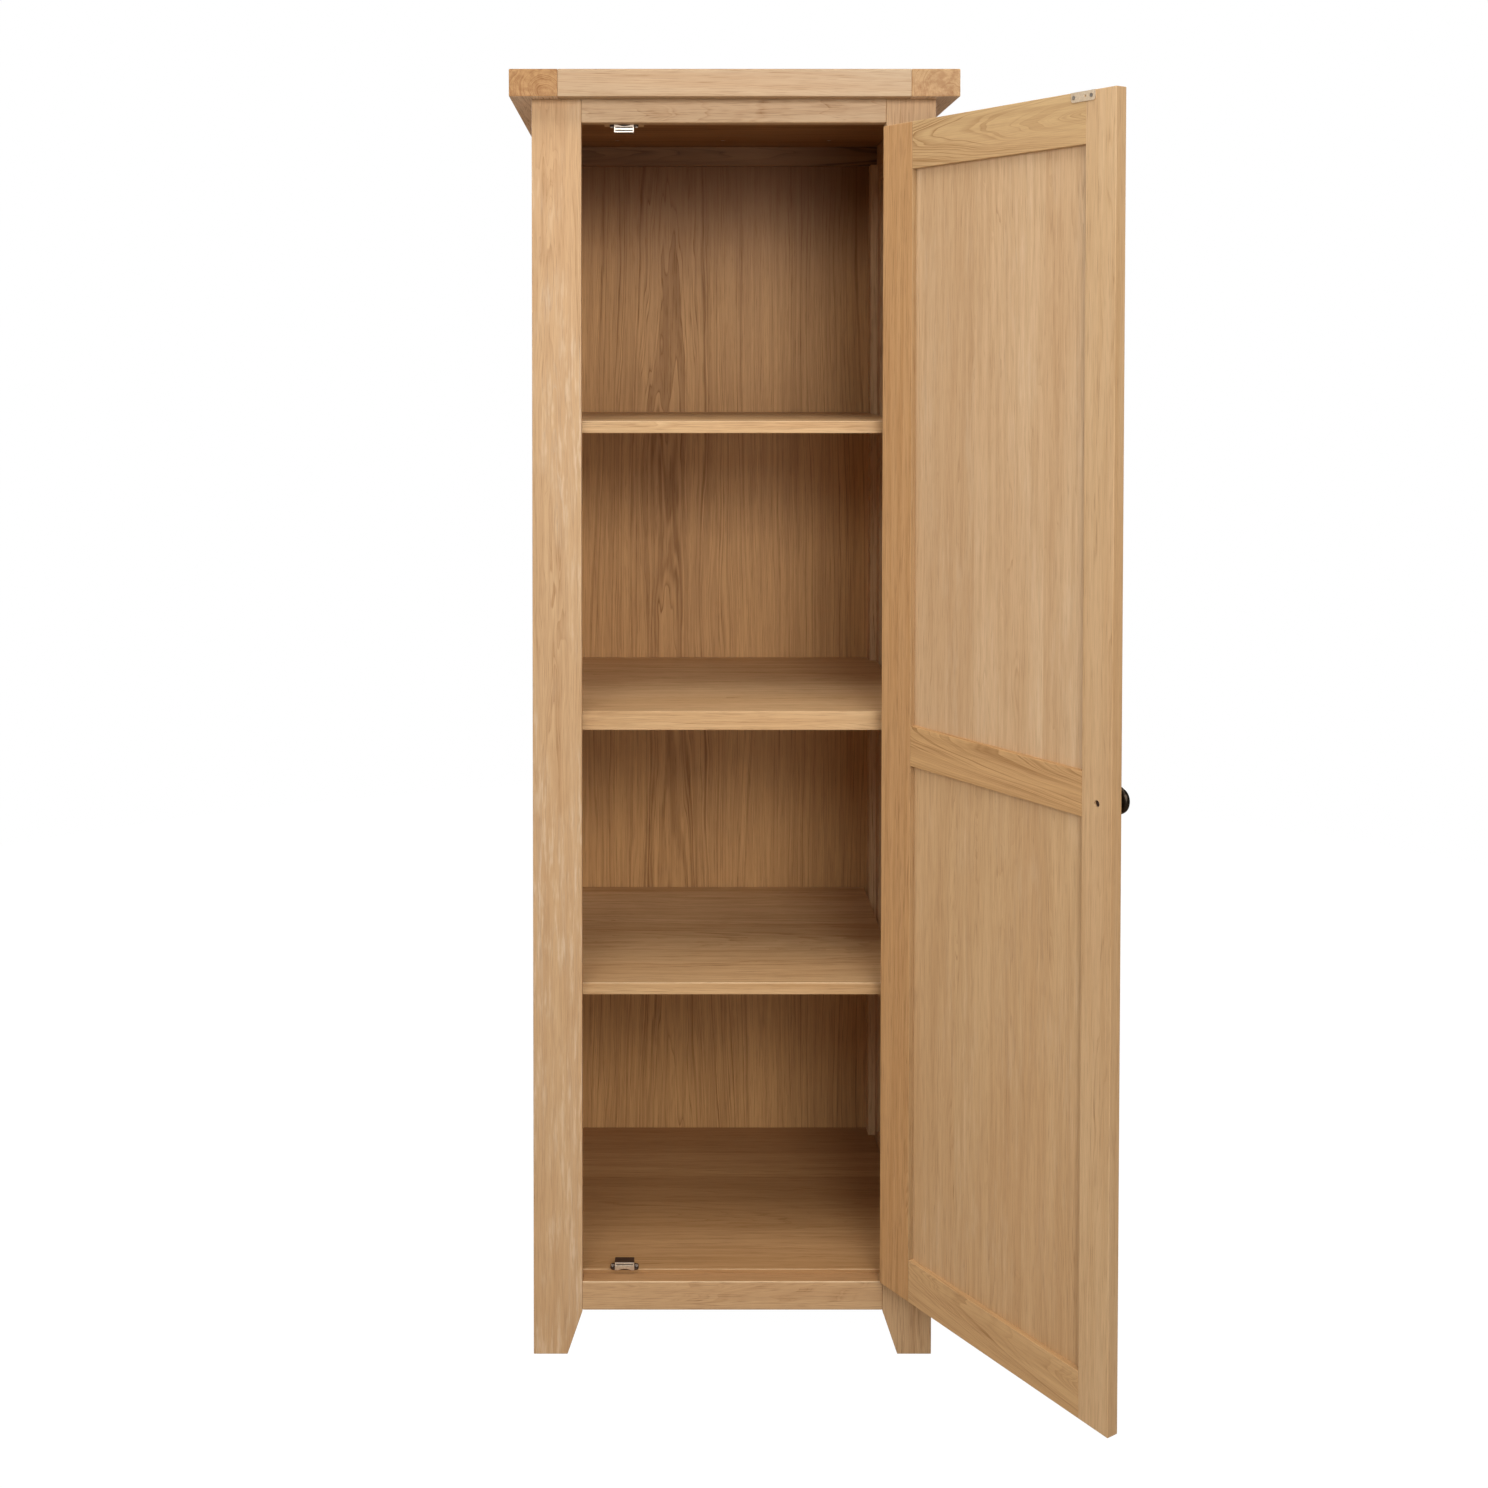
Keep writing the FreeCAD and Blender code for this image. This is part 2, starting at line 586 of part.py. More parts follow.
# ---------------------------------------------------------------- magnetic catches
# One stands on the floor and one hangs from a block behind the top rail. Each is a plastic case with
# two ears, a magnet inside and a nickelled pole plate in front, whose lower edge is arched.
catch_front = door_back + metal_sheet + catch_gap
catch_back = catch_front + catch_depth
block_x = (-catch_centre - catch_width, -catch_centre + catch_width)
block_y = (frame_back, frame_back + catch_depth + catch_ear)
pole_plates = []
magnets = []
catch_screws = []
catch_cases = {}
for place, side, base in (("bottom", 1, floor_level), ("top", -1, opening_top)):
    name = "catch_" + place
    inner_y = catch_front + metal_sheet
    half = catch_width / 2
    middle = -catch_centre
    body_z = either(side, base * side, base * side + catch_height)
    ear_z = either(side, base * side, base * side + catch_ear_thickness)
    body_x = (middle - half, middle + half)
    shell = block(name + "_shell", body_x, (inner_y, catch_back), body_z)
    ears = block(name + "_ears", (middle - half - catch_ear, middle + half + catch_ear),
                 (frame_back + metal_sheet, catch_back), ear_z)
    magnet_z = either(side, base * side + catch_ear_thickness, base * side + catch_height - metal_sheet)
    magnet_x = (middle - magnet_width / 2, middle + magnet_width / 2)
    magnet_y = (inner_y, catch_back - catch_ear_thickness)
    magnet = block(name + "_magnet", magnet_x, magnet_y, magnet_z)
    plate = block(name + "_plate", body_x, (catch_front, inner_y), body_z)
    arch = rod(name + "_arch", (middle, catch_front - catch_gap, base), "+Y", catch_height / 2,
               metal_sheet + catch_gap)
    pole_plates.append(without(name + "_pole", plate, [arch]))
    magnets.append(magnet)
    driven = "-Z" if side > 0 else "+Z"
    screws = []
    for hand in (-1, 1):
        spot = (middle + (half + catch_ear / 2) * hand, (frame_back + metal_sheet + catch_back) / 2,
                base + catch_ear_thickness * side)
        head = rod(f"{name}_head{hand + 1}", spot, driven, screw_head_radius, metal_sheet, screw_radius)
        shank = rod(f"{name}_shank{hand + 1}", spot, driven, screw_radius, screw_length)
        screws.append(together(f"{name}_screw{hand + 1}", [head, shank]))
    catch_screws.append(screws)
    catch_cases[place] = without(name + "_case", together(name + "_raw", [shell, ears]), [magnet] + screws)
keep("catch_case_bottom", catch_cases["bottom"])
keep("catch_case_top", catch_cases["top"])
keep("catch_pole_plates", together("all_pole_plates", pole_plates))
keep("catch_magnets", together("all_magnets", magnets))
keep("catch_screws", together("all_catch_screws", catch_screws[0] + catch_screws[1]))
floor_board = block("floor_board", (-board_x, board_x), (frame_back, back_face), (floor_low, floor_level))
keep("floor_panel", without("floor_panel", floor_board, catch_screws[0]))
keep("catch_block", without("catch_block", block("catch_block_raw", block_x, block_y, (opening_top, ceiling)),
                            catch_screws[1]))

# ---------------------------------------------------------------- door
# Two stiles and three rails, tongued and grooved round two flat panels, drawn shut and then hung.
door_y = (front, door_back)
door_panel_y = (front + door_panel_setback, front + door_panel_setback + door_panel_thickness)
free_edge = door_left + door_free_stile
hinge_edge = door_right - door_hinge_stile
mid_top = door_mid_level + door_mid_rail
groove_x = (free_edge - tongue, hinge_edge + tongue)
door_groove = block("door_groove", groove_x, door_panel_y, (door_bottom, door_top))
knob_x = door_left + knob_inset
knob_seat = (knob_x, door_back - knob_hole_depth, knob_level)
knob_head = rod("knob_screw_head", knob_seat, "+Y", knob_screw_head_radius, knob_screw_head_length)
knob_hole = rod("knob_counterbore", knob_seat, "+Y", knob_hole_radius, knob_hole_depth + metal_sheet)
knob_shank = rod("knob_screw_shank", (knob_x, front - knob_reach / 2, knob_level), "+Y", knob_screw_radius,
                 knob_reach / 2 + door_thickness - knob_hole_depth)
knob_screw = together("knob_screw_solid", [knob_head, knob_shank])

strike_x = (door_left + strike_inset - strike_length / 2, door_left + strike_inset + strike_length / 2)
strike_z = (door_top - strike_height, door_top)
strike_outline = [
    (strike_x[0], strike_z[0] + strike_corner),
    (strike_x[0] + strike_corner, strike_z[0]),
    (strike_x[1], strike_z[0]),
    (strike_x[1], strike_z[1]),
    (strike_x[0] + strike_corner, strike_z[1]),
    (strike_x[0], strike_z[1] - strike_corner),
]
strike_raw = milled("strike_raw", "XZ", strike_outline, door_back, metal_sheet)
strike_screws = []
for index, x in enumerate((strike_x[0] + strike_height / 2, strike_x[1] - strike_corner)):
    spot = (x, door_back - strike_screw_length, door_top - strike_height / 2)
    head = rod(f"strike_head{index}", (spot[0], door_back, spot[2]), "+Y", screw_radius, metal_sheet,
               screw_head_radius)
    shank = rod(f"strike_shank{index}", spot, "+Y", screw_radius, strike_screw_length)
    strike_screws.append(together(f"strike_screw{index}", [head, shank]))

free_board = block("free_stile_board", (door_left, free_edge), door_y, (door_bottom, door_top))
hinge_board = block("hinge_stile_board", (hinge_edge, door_right), door_y, (door_bottom, door_top))
free_stile_waste = [door_groove, knob_hole, knob_screw] + strike_screws
hang("door_free_stile", without("free_stile", free_board, free_stile_waste))
hang("door_hinge_stile", without("hinge_stile", hinge_board, [door_groove] + door_stile_waste))
panel_z = {
    "lower": (door_bottom + door_bottom_rail, door_mid_level),
    "upper": (mid_top, door_top - door_top_rail),
}
grooves = []
for name, (low, high) in panel_z.items():
    grooves.append(block(f"door_{name}_groove", groove_x, door_panel_y, (low - tongue, high + tongue)))
    panel_x = (free_edge - panel_reach, hinge_edge + panel_reach)
    panel = block(f"{name}_panel", panel_x, door_panel_y, (low - panel_reach, high + panel_reach))
    hang(f"door_{name}_panel", panel)
rails = {
    "bottom": (door_bottom, panel_z["lower"][0]),
    "middle": (door_mid_level, mid_top),
    "top": (panel_z["upper"][1], door_top),
}
for name, limits in rails.items():
    board = block(f"door_{name}_board", (free_edge, hinge_edge), door_y, limits)
    tenons = block(f"door_{name}_tenons", groove_x, door_panel_y, limits)
    waste = grooves + (strike_screws if name == "top" else [])
    raw = together(f"door_{name}_raw", [board, tenons])
    hang(f"door_{name}_rail", without(f"door_{name}_rail", raw, waste))
hang("strike_plate", without("strike_plate", strike_raw, strike_screws))
hang("strike_screws", together("all_strike_screws", strike_screws))
hang("knob_screw", knob_screw)

# The knob is turned from one piece: a foot, a waist and a broad domed head. Its profile is given as
# shares of its radius and of its reach.
KNOB_PROFILE = (
    (0, 0),
    (0.55, 0),
    (0.55, 0.1),
    (0.36, 0.2),
    (0.36, 0.42),
    (0.78, 0.52),
    (1, 0.66),
    (1, 0.76),
    (0.84, 0.9),
    (0.45, 0.985),
    (0, 1),
)
knob_body = doc.addObject("PartDesign::Body", "knob_body")
knob_sketch = knob_body.newObject("Sketcher::SketchObject", "knob_profile")
knob_plane = [f for f in knob_body.Origin.OriginFeatures if f.Role == "XY_Plane"][0]
knob_sketch.AttachmentSupport = [(knob_plane, "")]
knob_sketch.MapMode = "FlatFace"
for axis, place in zip("xyz", (knob_x, front, knob_level)):
    bind(knob_sketch, f"AttachmentOffset.Base.{axis}", place)
draw(knob_sketch, [(knob_radius * out, -(knob_reach * along)) for out, along in KNOB_PROFILE])
turned = knob_body.newObject("PartDesign::Revolution", "knob_turning")
turned.Profile = knob_sketch
turned.ReferenceAxis = (knob_sketch, ["V_Axis"])
turned.Angle = 360
hang("knob", without("knob", knob_body, [knob_screw]))

# ---------------------------------------------------------------- checks and files
doc.recompute()
faults = []
for thing in doc.Objects:
    if "Invalid" in thing.State or "Error" in thing.State:
        faults.append(f"{thing.Name} ({thing.Label}): {thing.State}")
for piece in parts:
    if piece.Shape.isNull() or not piece.Shape.isValid() or piece.Shape.Volume <= 0:
        faults.append(f"{piece.Label}: shape is null, invalid or empty")
labels = [piece.Label for piece in parts]
if len(set(labels)) != len(labels) or len(labels) > 60:
    faults.append(f"{len(labels)} labels, and they must be unique and at most 60")
if faults:
    raise SystemExit("\n".join(faults))
os.makedirs("parts", exist_ok=True)
for piece in parts:
    piece.Shape.exportStep(f"parts/{piece.Label}.step")
print(f"{len(parts)} parts, door pin at {pin_x.number:.2f}, {pin_y.number:.2f}")
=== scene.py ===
"""Single-door oak pantry cabinet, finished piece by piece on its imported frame.

Metres, in the frame's own axes: +Z up, -Y towards the person who opens the door, floor at z = 0.
"""
import json
import math

import bmesh
import bpy
from mathutils import Matrix, Vector


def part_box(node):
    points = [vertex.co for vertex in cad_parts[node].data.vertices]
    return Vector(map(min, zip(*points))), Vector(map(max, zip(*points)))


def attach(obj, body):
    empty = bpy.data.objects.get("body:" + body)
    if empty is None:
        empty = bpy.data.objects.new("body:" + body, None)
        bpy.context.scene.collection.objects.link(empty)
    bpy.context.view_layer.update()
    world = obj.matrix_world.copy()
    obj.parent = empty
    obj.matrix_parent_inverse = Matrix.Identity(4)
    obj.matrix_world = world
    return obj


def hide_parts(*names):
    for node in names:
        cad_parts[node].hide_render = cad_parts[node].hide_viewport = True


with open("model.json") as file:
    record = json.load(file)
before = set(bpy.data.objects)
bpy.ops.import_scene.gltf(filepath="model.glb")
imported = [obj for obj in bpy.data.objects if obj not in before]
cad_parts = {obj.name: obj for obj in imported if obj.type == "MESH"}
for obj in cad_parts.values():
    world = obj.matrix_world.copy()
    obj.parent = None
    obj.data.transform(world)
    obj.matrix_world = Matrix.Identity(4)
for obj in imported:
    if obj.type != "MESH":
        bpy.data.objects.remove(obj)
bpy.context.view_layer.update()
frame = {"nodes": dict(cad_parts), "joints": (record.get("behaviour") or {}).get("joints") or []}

# ------------------------------------------------------------------ face frame
# Two full-height oak stiles, their feet tapered on the inner side, with a rail tenoned between them at
# the top and one above the feet. All arrises are eased, and everything is satin lacquered.


def box_of(node):
    """The two corners of a fixed piece, as the frame gives them."""
    low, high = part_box(node)
    return Vector(low), Vector(high)


def pick(piece, kind, test):
    """Opens a piece for editing with only those corners, edges or faces picked that pass the test."""
    if bpy.context.mode != "OBJECT":
        bpy.ops.object.mode_set(mode="OBJECT")
    bpy.ops.object.select_all(action="DESELECT")
    piece.select_set(True)
    bpy.context.view_layer.objects.active = piece
    bpy.ops.object.mode_set(mode="EDIT")
    bpy.ops.mesh.select_mode(type=kind)
    bpy.ops.mesh.select_all(action="DESELECT")
    mesh = bmesh.from_edit_mesh(piece.data)
    mesh.normal_update()
    for item in {"VERT": mesh.verts, "EDGE": mesh.edges, "FACE": mesh.faces}[kind]:
        corners = [item] if kind == "VERT" else item.verts
        middle = sum((corner.co for corner in corners), Vector()) / len(corners)
        if test(middle, item):
            item.select_set(True)
    mesh.select_flush_mode()
    bmesh.update_edit_mesh(piece.data)


def settle(piece):
    """Leaves editing, with the piece's place in its mesh and nothing else picked."""
    if bpy.context.mode != "OBJECT":
        bpy.ops.object.mode_set(mode="OBJECT")
    bpy.ops.object.select_all(action="DESELECT")
    piece.select_set(True)
    bpy.context.view_layer.objects.active = piece
    bpy.ops.object.transform_apply(location=True, rotation=True, scale=True)
    bpy.ops.object.select_all(action="DESELECT")
    return piece


def named(name):
    """The piece just made, under its name."""
    piece = bpy.context.object
    piece.name = name
    piece.data.name = name
    return piece


def sawn(name, low, high):
    """A board sawn square between two corners."""
    bpy.ops.object.select_all(action="DESELECT")
    low, high = Vector(low), Vector(high)
    bpy.ops.mesh.primitive_cube_add(size=1, location=(low + high) / 2, scale=high - low)
    return settle(named(name))


EASE = 0.0009
THIN_EASE = 0.0004
SHARP = 0.4


def ease(piece, radius=EASE, steps=2, test=None):
    """Takes the sharpness off the arrises of a piece."""
    pick(piece, "EDGE", lambda middle, edge: edge.calc_face_angle(0) > SHARP
         and (test is None or test(middle, edge)))
    bpy.ops.mesh.bevel(offset=radius, segments=steps, affect="EDGES", clamp_overlap=True)
    return settle(piece)


PAST = 0.001  # how far a cutter goes past the face that it opens


def cut_away(piece, *cutters):
    """Cuts the cutters out of a piece, and throws them away."""
    for cutter in cutters:
        settle(piece)
        bpy.context.view_layer.objects.active = piece
        cut = piece.modifiers.new("cut", "BOOLEAN")
        cut.operation = "DIFFERENCE"
        cut.solver = "EXACT"
        cut.object = cutter
        bpy.ops.object.modifier_apply(modifier=cut.name)
        bpy.data.objects.remove(cutter)
    return piece


class Value:
    """A socket of the finish in hand. Arithmetic on it adds the Math nodes that do the sum."""

    tree = None

    def __init__(self, socket):
        self.socket = socket

    @staticmethod
    def of(kind, settings=None, inputs=None, output=0):
        """Adds a node with its settings and what its sockets are given, and hands back one output."""
        made = Value.tree.nodes.new("ShaderNode" + kind)
        for name, setting in (settings or {}).items():
            setattr(made, name, setting)
        for name, given in (inputs or {}).items():
            if isinstance(given, Value):
                Value.tree.links.new(given.socket, made.inputs[name])
            else:
                made.inputs[name].default_value = given
        return Value(made.outputs[output]) if made.outputs else None

    @staticmethod
    def sum(operation, *terms):
        """Adds the Math node that works one sum."""
        return Value.of("Math", {"operation": operation}, dict(enumerate(terms)))

    def __add__(self, other):
        return Value.sum("ADD", self, other)

    def __radd__(self, other):
        return Value.sum("ADD", other, self)

    def __sub__(self, other):
        return Value.sum("SUBTRACT", self, other)

    def __rsub__(self, other):
        return Value.sum("SUBTRACT", other, self)

    def __mul__(self, other):
        return Value.sum("MULTIPLY", self, other)

    def __rmul__(self, other):
        return Value.sum("MULTIPLY", other, self)

    def __truediv__(self, other):
        return Value.sum("DIVIDE", self, other)

    def __rtruediv__(self, other):
        return Value.sum("DIVIDE", other, self)

    def __pow__(self, other):
        return Value.sum("POWER", self, other)

    def __rpow__(self, other):
        return Value.sum("POWER", other, self)

    def part(self):
        """What is left of it above the whole number below."""
        return Value.sum("FRACT", self)

    def rise(self, low, high):
        """0 below low, 1 above high, and a smooth climb between."""
        return Value.of("MapRange", {"interpolation_type": "SMOOTHSTEP"},
                        {"Value": self, "From Min": low, "From Max": high})


def tint(share, first, second):
    """A colour between two colours."""
    return Value.of("Mix", {"data_type": "RGBA"}, {0: share, 6: first, 7: second}, 2)


def colour(red, green, blue):
    return (red, green, blue, 1)


def cloud(place, stretch, seed, detail, roughness=0.5):
    """Soft noise from 0 to 1, with so many changes a metre across, through and along the grain."""
    spread = Value.of("Mapping", {}, {"Vector": place, "Scale": stretch,
                                      "Location": (seed * 3.7, seed * 1.9, seed * 5.3)})
    return Value.of("TexNoise", {}, {"Vector": spread, "Scale": 1, "Detail": detail,
                                     "Roughness": roughness})


def finish(shade, roughness, height, depth, strength, **constants):
    """Ends a finish: its colour, roughness and relief go to the shader, and so do its constants."""
    inputs = {socket.replace("_", " "): constant for socket, constant in constants.items()}
    inputs["Base Color"] = shade
    inputs["Roughness"] = roughness
    inputs["Normal"] = Value.of("Bump", {}, {"Strength": strength, "Distance": depth, "Height": height})
    Value.of("OutputMaterial", {}, {"Surface": Value.of("BsdfPrincipled", {}, inputs)})


def new_finish(name):
    """Starts a finish with nothing in it yet, and takes it in hand."""
    material = bpy.data.materials.new(name)
    material.use_nodes = True
    material.node_tree.nodes.clear()
    Value.tree = material.node_tree
    return material


def grain_place(low, high, swing, grain):
    """Places in a board as across, through and along its grain from its middle, the grain running the
    longest way unless it is given. swing is how a hung piece was turned from where it was made."""
    low, high = Vector(low), Vector(high)
    order = sorted(range(3), key=lambda axis: math.inf if axis == grain else high[axis] - low[axis])
    rows = [Vector([float(axis == order[1]) for axis in range(3)]),
            Vector([float(axis == order[0]) for axis in range(3)]),
            Vector([float(axis == order[2]) for axis in range(3)])]
    if rows[0].cross(rows[1]).dot(rows[2]) < 0:
        rows[0].negate()
    lay = Matrix(rows).to_4x4() @ Matrix.Translation(-(low + high) / 2)
    if swing is not None:
        lay = lay @ swing.inverted()
    location, rotation, _ = lay.decompose()
    place = Value.of("TexCoord", output="Object")
    return Value.of("Mapping", {}, {"Vector": place, "Location": location,
                                    "Rotation": rotation.to_euler()})


LATEWOOD = colour(0.60, 0.395, 0.215)
EARLYWOOD = colour(0.34, 0.165, 0.06)
PORE = colour(0.22, 0.105, 0.04)
BLUSH = colour(0.55, 0.315, 0.145)
RAY = colour(0.84, 0.70, 0.52)
# Dark brown mixed into the oak for painted shade.
PAINTED_SHADE = colour(0.15, 0.045, 0.006)
LACQUER = dict(Specular_IOR_Level=0.3, Coat_Weight=0.04, Coat_Roughness=0.36, Coat_IOR=1.45)
# How many changes a metre each kind of mark has across, through and along the grain.
DRIFT = (9, 9, 1.1)
WAVER = (38, 38, 4)
UNEVEN = (60, 60, 3)
FIBRE = (1500, 1500, 24)
STREAK = (680, 680, 20)
VEIL = (105, 105, 3.2)
WISP = (150, 150, 12)
GATHERED = (20, 20, 5)
DRIFT_SIZE = 0.06
RELIEF_DEPTH = 0.00025
RELIEF_STRENGTH = 0.45


def oak(piece, low, high, seed, late=LATEWOOD, early=EARLYWOOD, heart=(0.0, 0.07), lean=0.02,
        ring=0.0055, figure=0.6, pores=0.7, rays=0.0, staves=None, swing=None, grain=None,
        drift_share=0.5, veil_share=0.22, stave_share=0.25, thin=3.2, waver_size=0.011,
        painted_shade=None, only=None):
    """Satin lacquered oak for one board: growth rings about a heart beside the board, which leans along
    it so that they run out in arches, with open pores, pale rays and a slow drift of colour. The painted
    shade, when asked for, darkens the colour along one axis, from where to where and how far; only picks
    the faces that get the finish."""
    material = new_finish(piece.name)
    place = grain_place(low, high, swing, grain)
    if staves:
        across = Value.of("SeparateXYZ", {}, {0: place}, 0)
        stave = Value.sum("FLOOR", across / staves + seed * 0.37)
        stave_tone = Value.of("TexWhiteNoise", {"noise_dimensions": "1D"}, {"W": stave + seed * 7.3})
        shift = Value.of("CombineXYZ", {}, {0: stave_tone * 0.16 - 0.08, 1: stave_tone * 0.06,
                                            2: stave_tone * 2.7})
        place = Value.of("VectorMath", {"operation": "ADD"}, {0: place, 1: shift})
    across, through, along = (Value.of("SeparateXYZ", {}, {0: place}, axis) for axis in range(3))
    drift = cloud(place, DRIFT, seed, 2)
    waver = cloud(place, WAVER, seed + 11, 2, 0.55)
    out_x = across + heart[0] + (drift - 0.5) * DRIFT_SIZE
    out_y = through + heart[1] + along * lean
    radius = Value.sum("SQRT", out_x * out_x + out_y * out_y) + (waver - 0.5) * waver_size
    year = radius / ring
    spacing = Value.of("TexNoise", {"noise_dimensions": "1D"}, {"W": year * 0.45 + seed, "Detail": 1.0})
    year = year + spacing * 2.6
    turn = year.part()
    count = Value.sum("FLOOR", year)
    vigour = Value.of("TexWhiteNoise", {"noise_dimensions": "1D"}, {"W": count + seed * 3.1})
    band = ((1 - turn) ** thin + turn.rise(0.9, 1.0) * 0.9) * (0.25 + 0.75 * vigour)
    uneven = cloud(place, UNEVEN, seed + 3, 2)
    band = band * (0.35 + 0.95 * uneven.rise(0.25, 0.75))
    fibre = cloud(place, FIBRE, seed + 5, 2, 0.6)
    streak = cloud(place, STREAK, seed + 7, 2, 0.65)
    open_pore = streak.rise(0.52, 0.66) * (0.4 + 0.9 * band)
    veil = cloud(place, VEIL, seed + 13, 2, 0.6)
    shade = tint(drift.rise(0.25, 0.75) * drift_share, late, BLUSH)
    shade = tint(veil.rise(0.35, 0.7) * veil_share, shade, early)
    shade = tint(band * figure, shade, early)
    shade = tint(open_pore * pores, shade, PORE)
    shade = tint(fibre.rise(0.35, 0.75) * 0.2, shade, PORE)
    if staves:
        shade = tint(stave_tone * stave_share, shade, early)
    if rays:
        wisp = cloud(place, WISP, seed + 9, 3, 0.7).rise(0.48, 0.64)
        gathered = cloud(place, GATHERED, seed + 10, 1).rise(0.40, 0.60)
        shade = tint(wisp * gathered * rays, shade, RAY)
        shade = tint(band * gathered * rays, shade, RAY)
    # Painted shade: the colour darkens towards one end of the given axis.
    if painted_shade:
        axis, start, end, share = painted_shade
        shade = tint((across, through, along)[axis].rise(start, end) * share, shade, PAINTED_SHADE)
    height = 0.6 - open_pore * 0.6 - band * 0.15 + fibre * 0.2
    finish(shade, 0.5 + open_pore * 0.25 + band * 0.06 + fibre * 0.06, height, RELIEF_DEPTH,
           RELIEF_STRENGTH, **LACQUER)
    if only is None:
        piece.data.materials.clear()
    piece.data.materials.append(material)
    for face in piece.data.polygons:
        if only and only(face):
            face.material_index = len(piece.data.materials) - 1
    return piece


def fit(piece, body, slot, *nodes):
    """Fixes a piece to the body that it moves with, and has it stand for the pieces it replaces."""
    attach(piece, body)
    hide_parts(*nodes)
    return piece


FOOT_TAPER = 0.064
FOOT_WIDTH = 0.050
TOUCH = 1e-4  # two places nearer than this are the same
stile_left = box_of("front_stile_left")
stile_right = box_of("front_stile_right")
front_face = stile_left[0].y


def taper_foot(piece, axis, outer, inner):
    """Narrows the foot of a leg board on its inner side, to the foot's width from the outer side."""
    pick(piece, "FACE", lambda middle, face: True)
    bpy.ops.mesh.bisect(plane_co=(0, 0, FOOT_TAPER), plane_no=(0, 0, 1))
    pick(piece, "VERT", lambda middle, vert: middle.z < FOOT_TAPER / 2 and abs(middle[axis] - inner) < TOUCH)
    move = [0.0, 0.0, 0.0]
    move[axis] = outer + math.copysign(FOOT_WIDTH, inner - outer) - inner
    bpy.ops.transform.translate(value=move)
    return settle(piece)


left_stile = sawn("face_stile_left", *stile_left)
taper_foot(left_stile, 0, stile_left[0].x, stile_left[1].x)
ease(left_stile)
oak(left_stile, *stile_left, seed=3, heart=(0.006, 0.035), lean=0.016, ring=0.0065,
    figure=0.5, pores=0.4, rays=0.28, waver_size=0.02)
fit(left_stile, "cabinet", "oak_frame", "front_stile_left")

hinge_joint = frame["joints"][0]
pin = Vector(hinge_joint["pos_m"])
hinge_names = ("bottom", "middle", "top")
hinge_boxes = {name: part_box("hinge_frame_leaf_" + name) for name in hinge_names}
hinge_heights = {name: (low.z, high.z) for name, (low, high) in hinge_boxes.items()}
LEAF_THICKNESS = 0.0014
KNUCKLE_ROOM = 0.003
leaf_back = hinge_boxes["top"][1].y


def rod(name, start, end, radius, sides=32):
    """A round bar from one point to another."""
    bpy.ops.object.select_all(action="DESELECT")
    start, end = Vector(start), Vector(end)
    way = end - start
    bpy.ops.mesh.primitive_cylinder_add(vertices=sides, radius=radius, depth=way.length,
                                        location=(start + end) / 2,
                                        rotation=way.to_track_quat("Z", "Y").to_euler())
    return settle(named(name))


right_stile = sawn("face_stile_right", *stile_right)
taper_foot(right_stile, 0, stile_right[1].x, stile_right[0].x)
ease(right_stile)
stile_edge = stile_right[0].x
for low_z, high_z in hinge_heights.values():
    recess = sawn("recess", (stile_edge - LEAF_THICKNESS, front_face - 2 * PAST, low_z),
                  (stile_edge + LEAF_THICKNESS, leaf_back, high_z))
    notch = sawn("notch", (stile_edge - PAST, front_face - 2 * PAST, low_z),
                 (pin.x + KNUCKLE_ROOM, pin.y, high_z))
    cove = rod("cove", (pin.x, pin.y, low_z), (pin.x, pin.y, high_z), KNUCKLE_ROOM, 24)
    cut_away(right_stile, recess, notch, cove)
oak(right_stile, *stile_right, seed=8, heart=(-0.03, 0.045), lean=-0.016)
fit(right_stile, "cabinet", "oak_frame", "front_stile_right")

RAIL_EASE = 0.0016
TOP_RAIL_LATE = colour(0.57, 0.40, 0.24)
# The upward faces of the rails get a darker, redder copy of the oak: painted shade.
LEDGE_PAINTED_SHADE_LATE = colour(0.46, 0.25, 0.105)
# The eased upper front edges get a paler copy of the oak: a painted highlight.
ARRIS_PAINTED_HIGHLIGHT_LATE = colour(0.86, 0.66, 0.42)
FACING = 0.9
SLANTED = 0.2


def front_arris(face):
    """Whether a face is part of the eased upper front edge of a board."""
    return SLANTED < face.normal.z < FACING and face.normal.y < -SLANTED


for node, name, seed, heart, late in (
        ("front_top_rail", "face_rail_top", 15, (0.0, 0.09), TOP_RAIL_LATE),
        ("front_bottom_rail", "face_rail_bottom", 21, (0.012, 0.04), LATEWOOD)):
    low, high = box_of(node)
    low.x, high.x = stile_left[1].x, stile_right[0].x
    rail = sawn(name, low, high)
    ease(rail, RAIL_EASE, 3)
    oak(rail, low, high, seed=seed, late=late, heart=heart, lean=0.06, figure=0.45)
    # Upward faces: painted shade.
    oak(rail, low, high, seed=seed, late=LEDGE_PAINTED_SHADE_LATE, heart=heart, lean=0.06,
        only=lambda face: face.normal.z > FACING)
    # Eased upper front edge: painted highlight.
    oak(rail, low, high, seed=seed, late=ARRIS_PAINTED_HIGHLIGHT_LATE, early=LATEWOOD, heart=heart, lean=0.06,
        only=front_arris)
    fit(rail, "cabinet", "oak_frame", node)

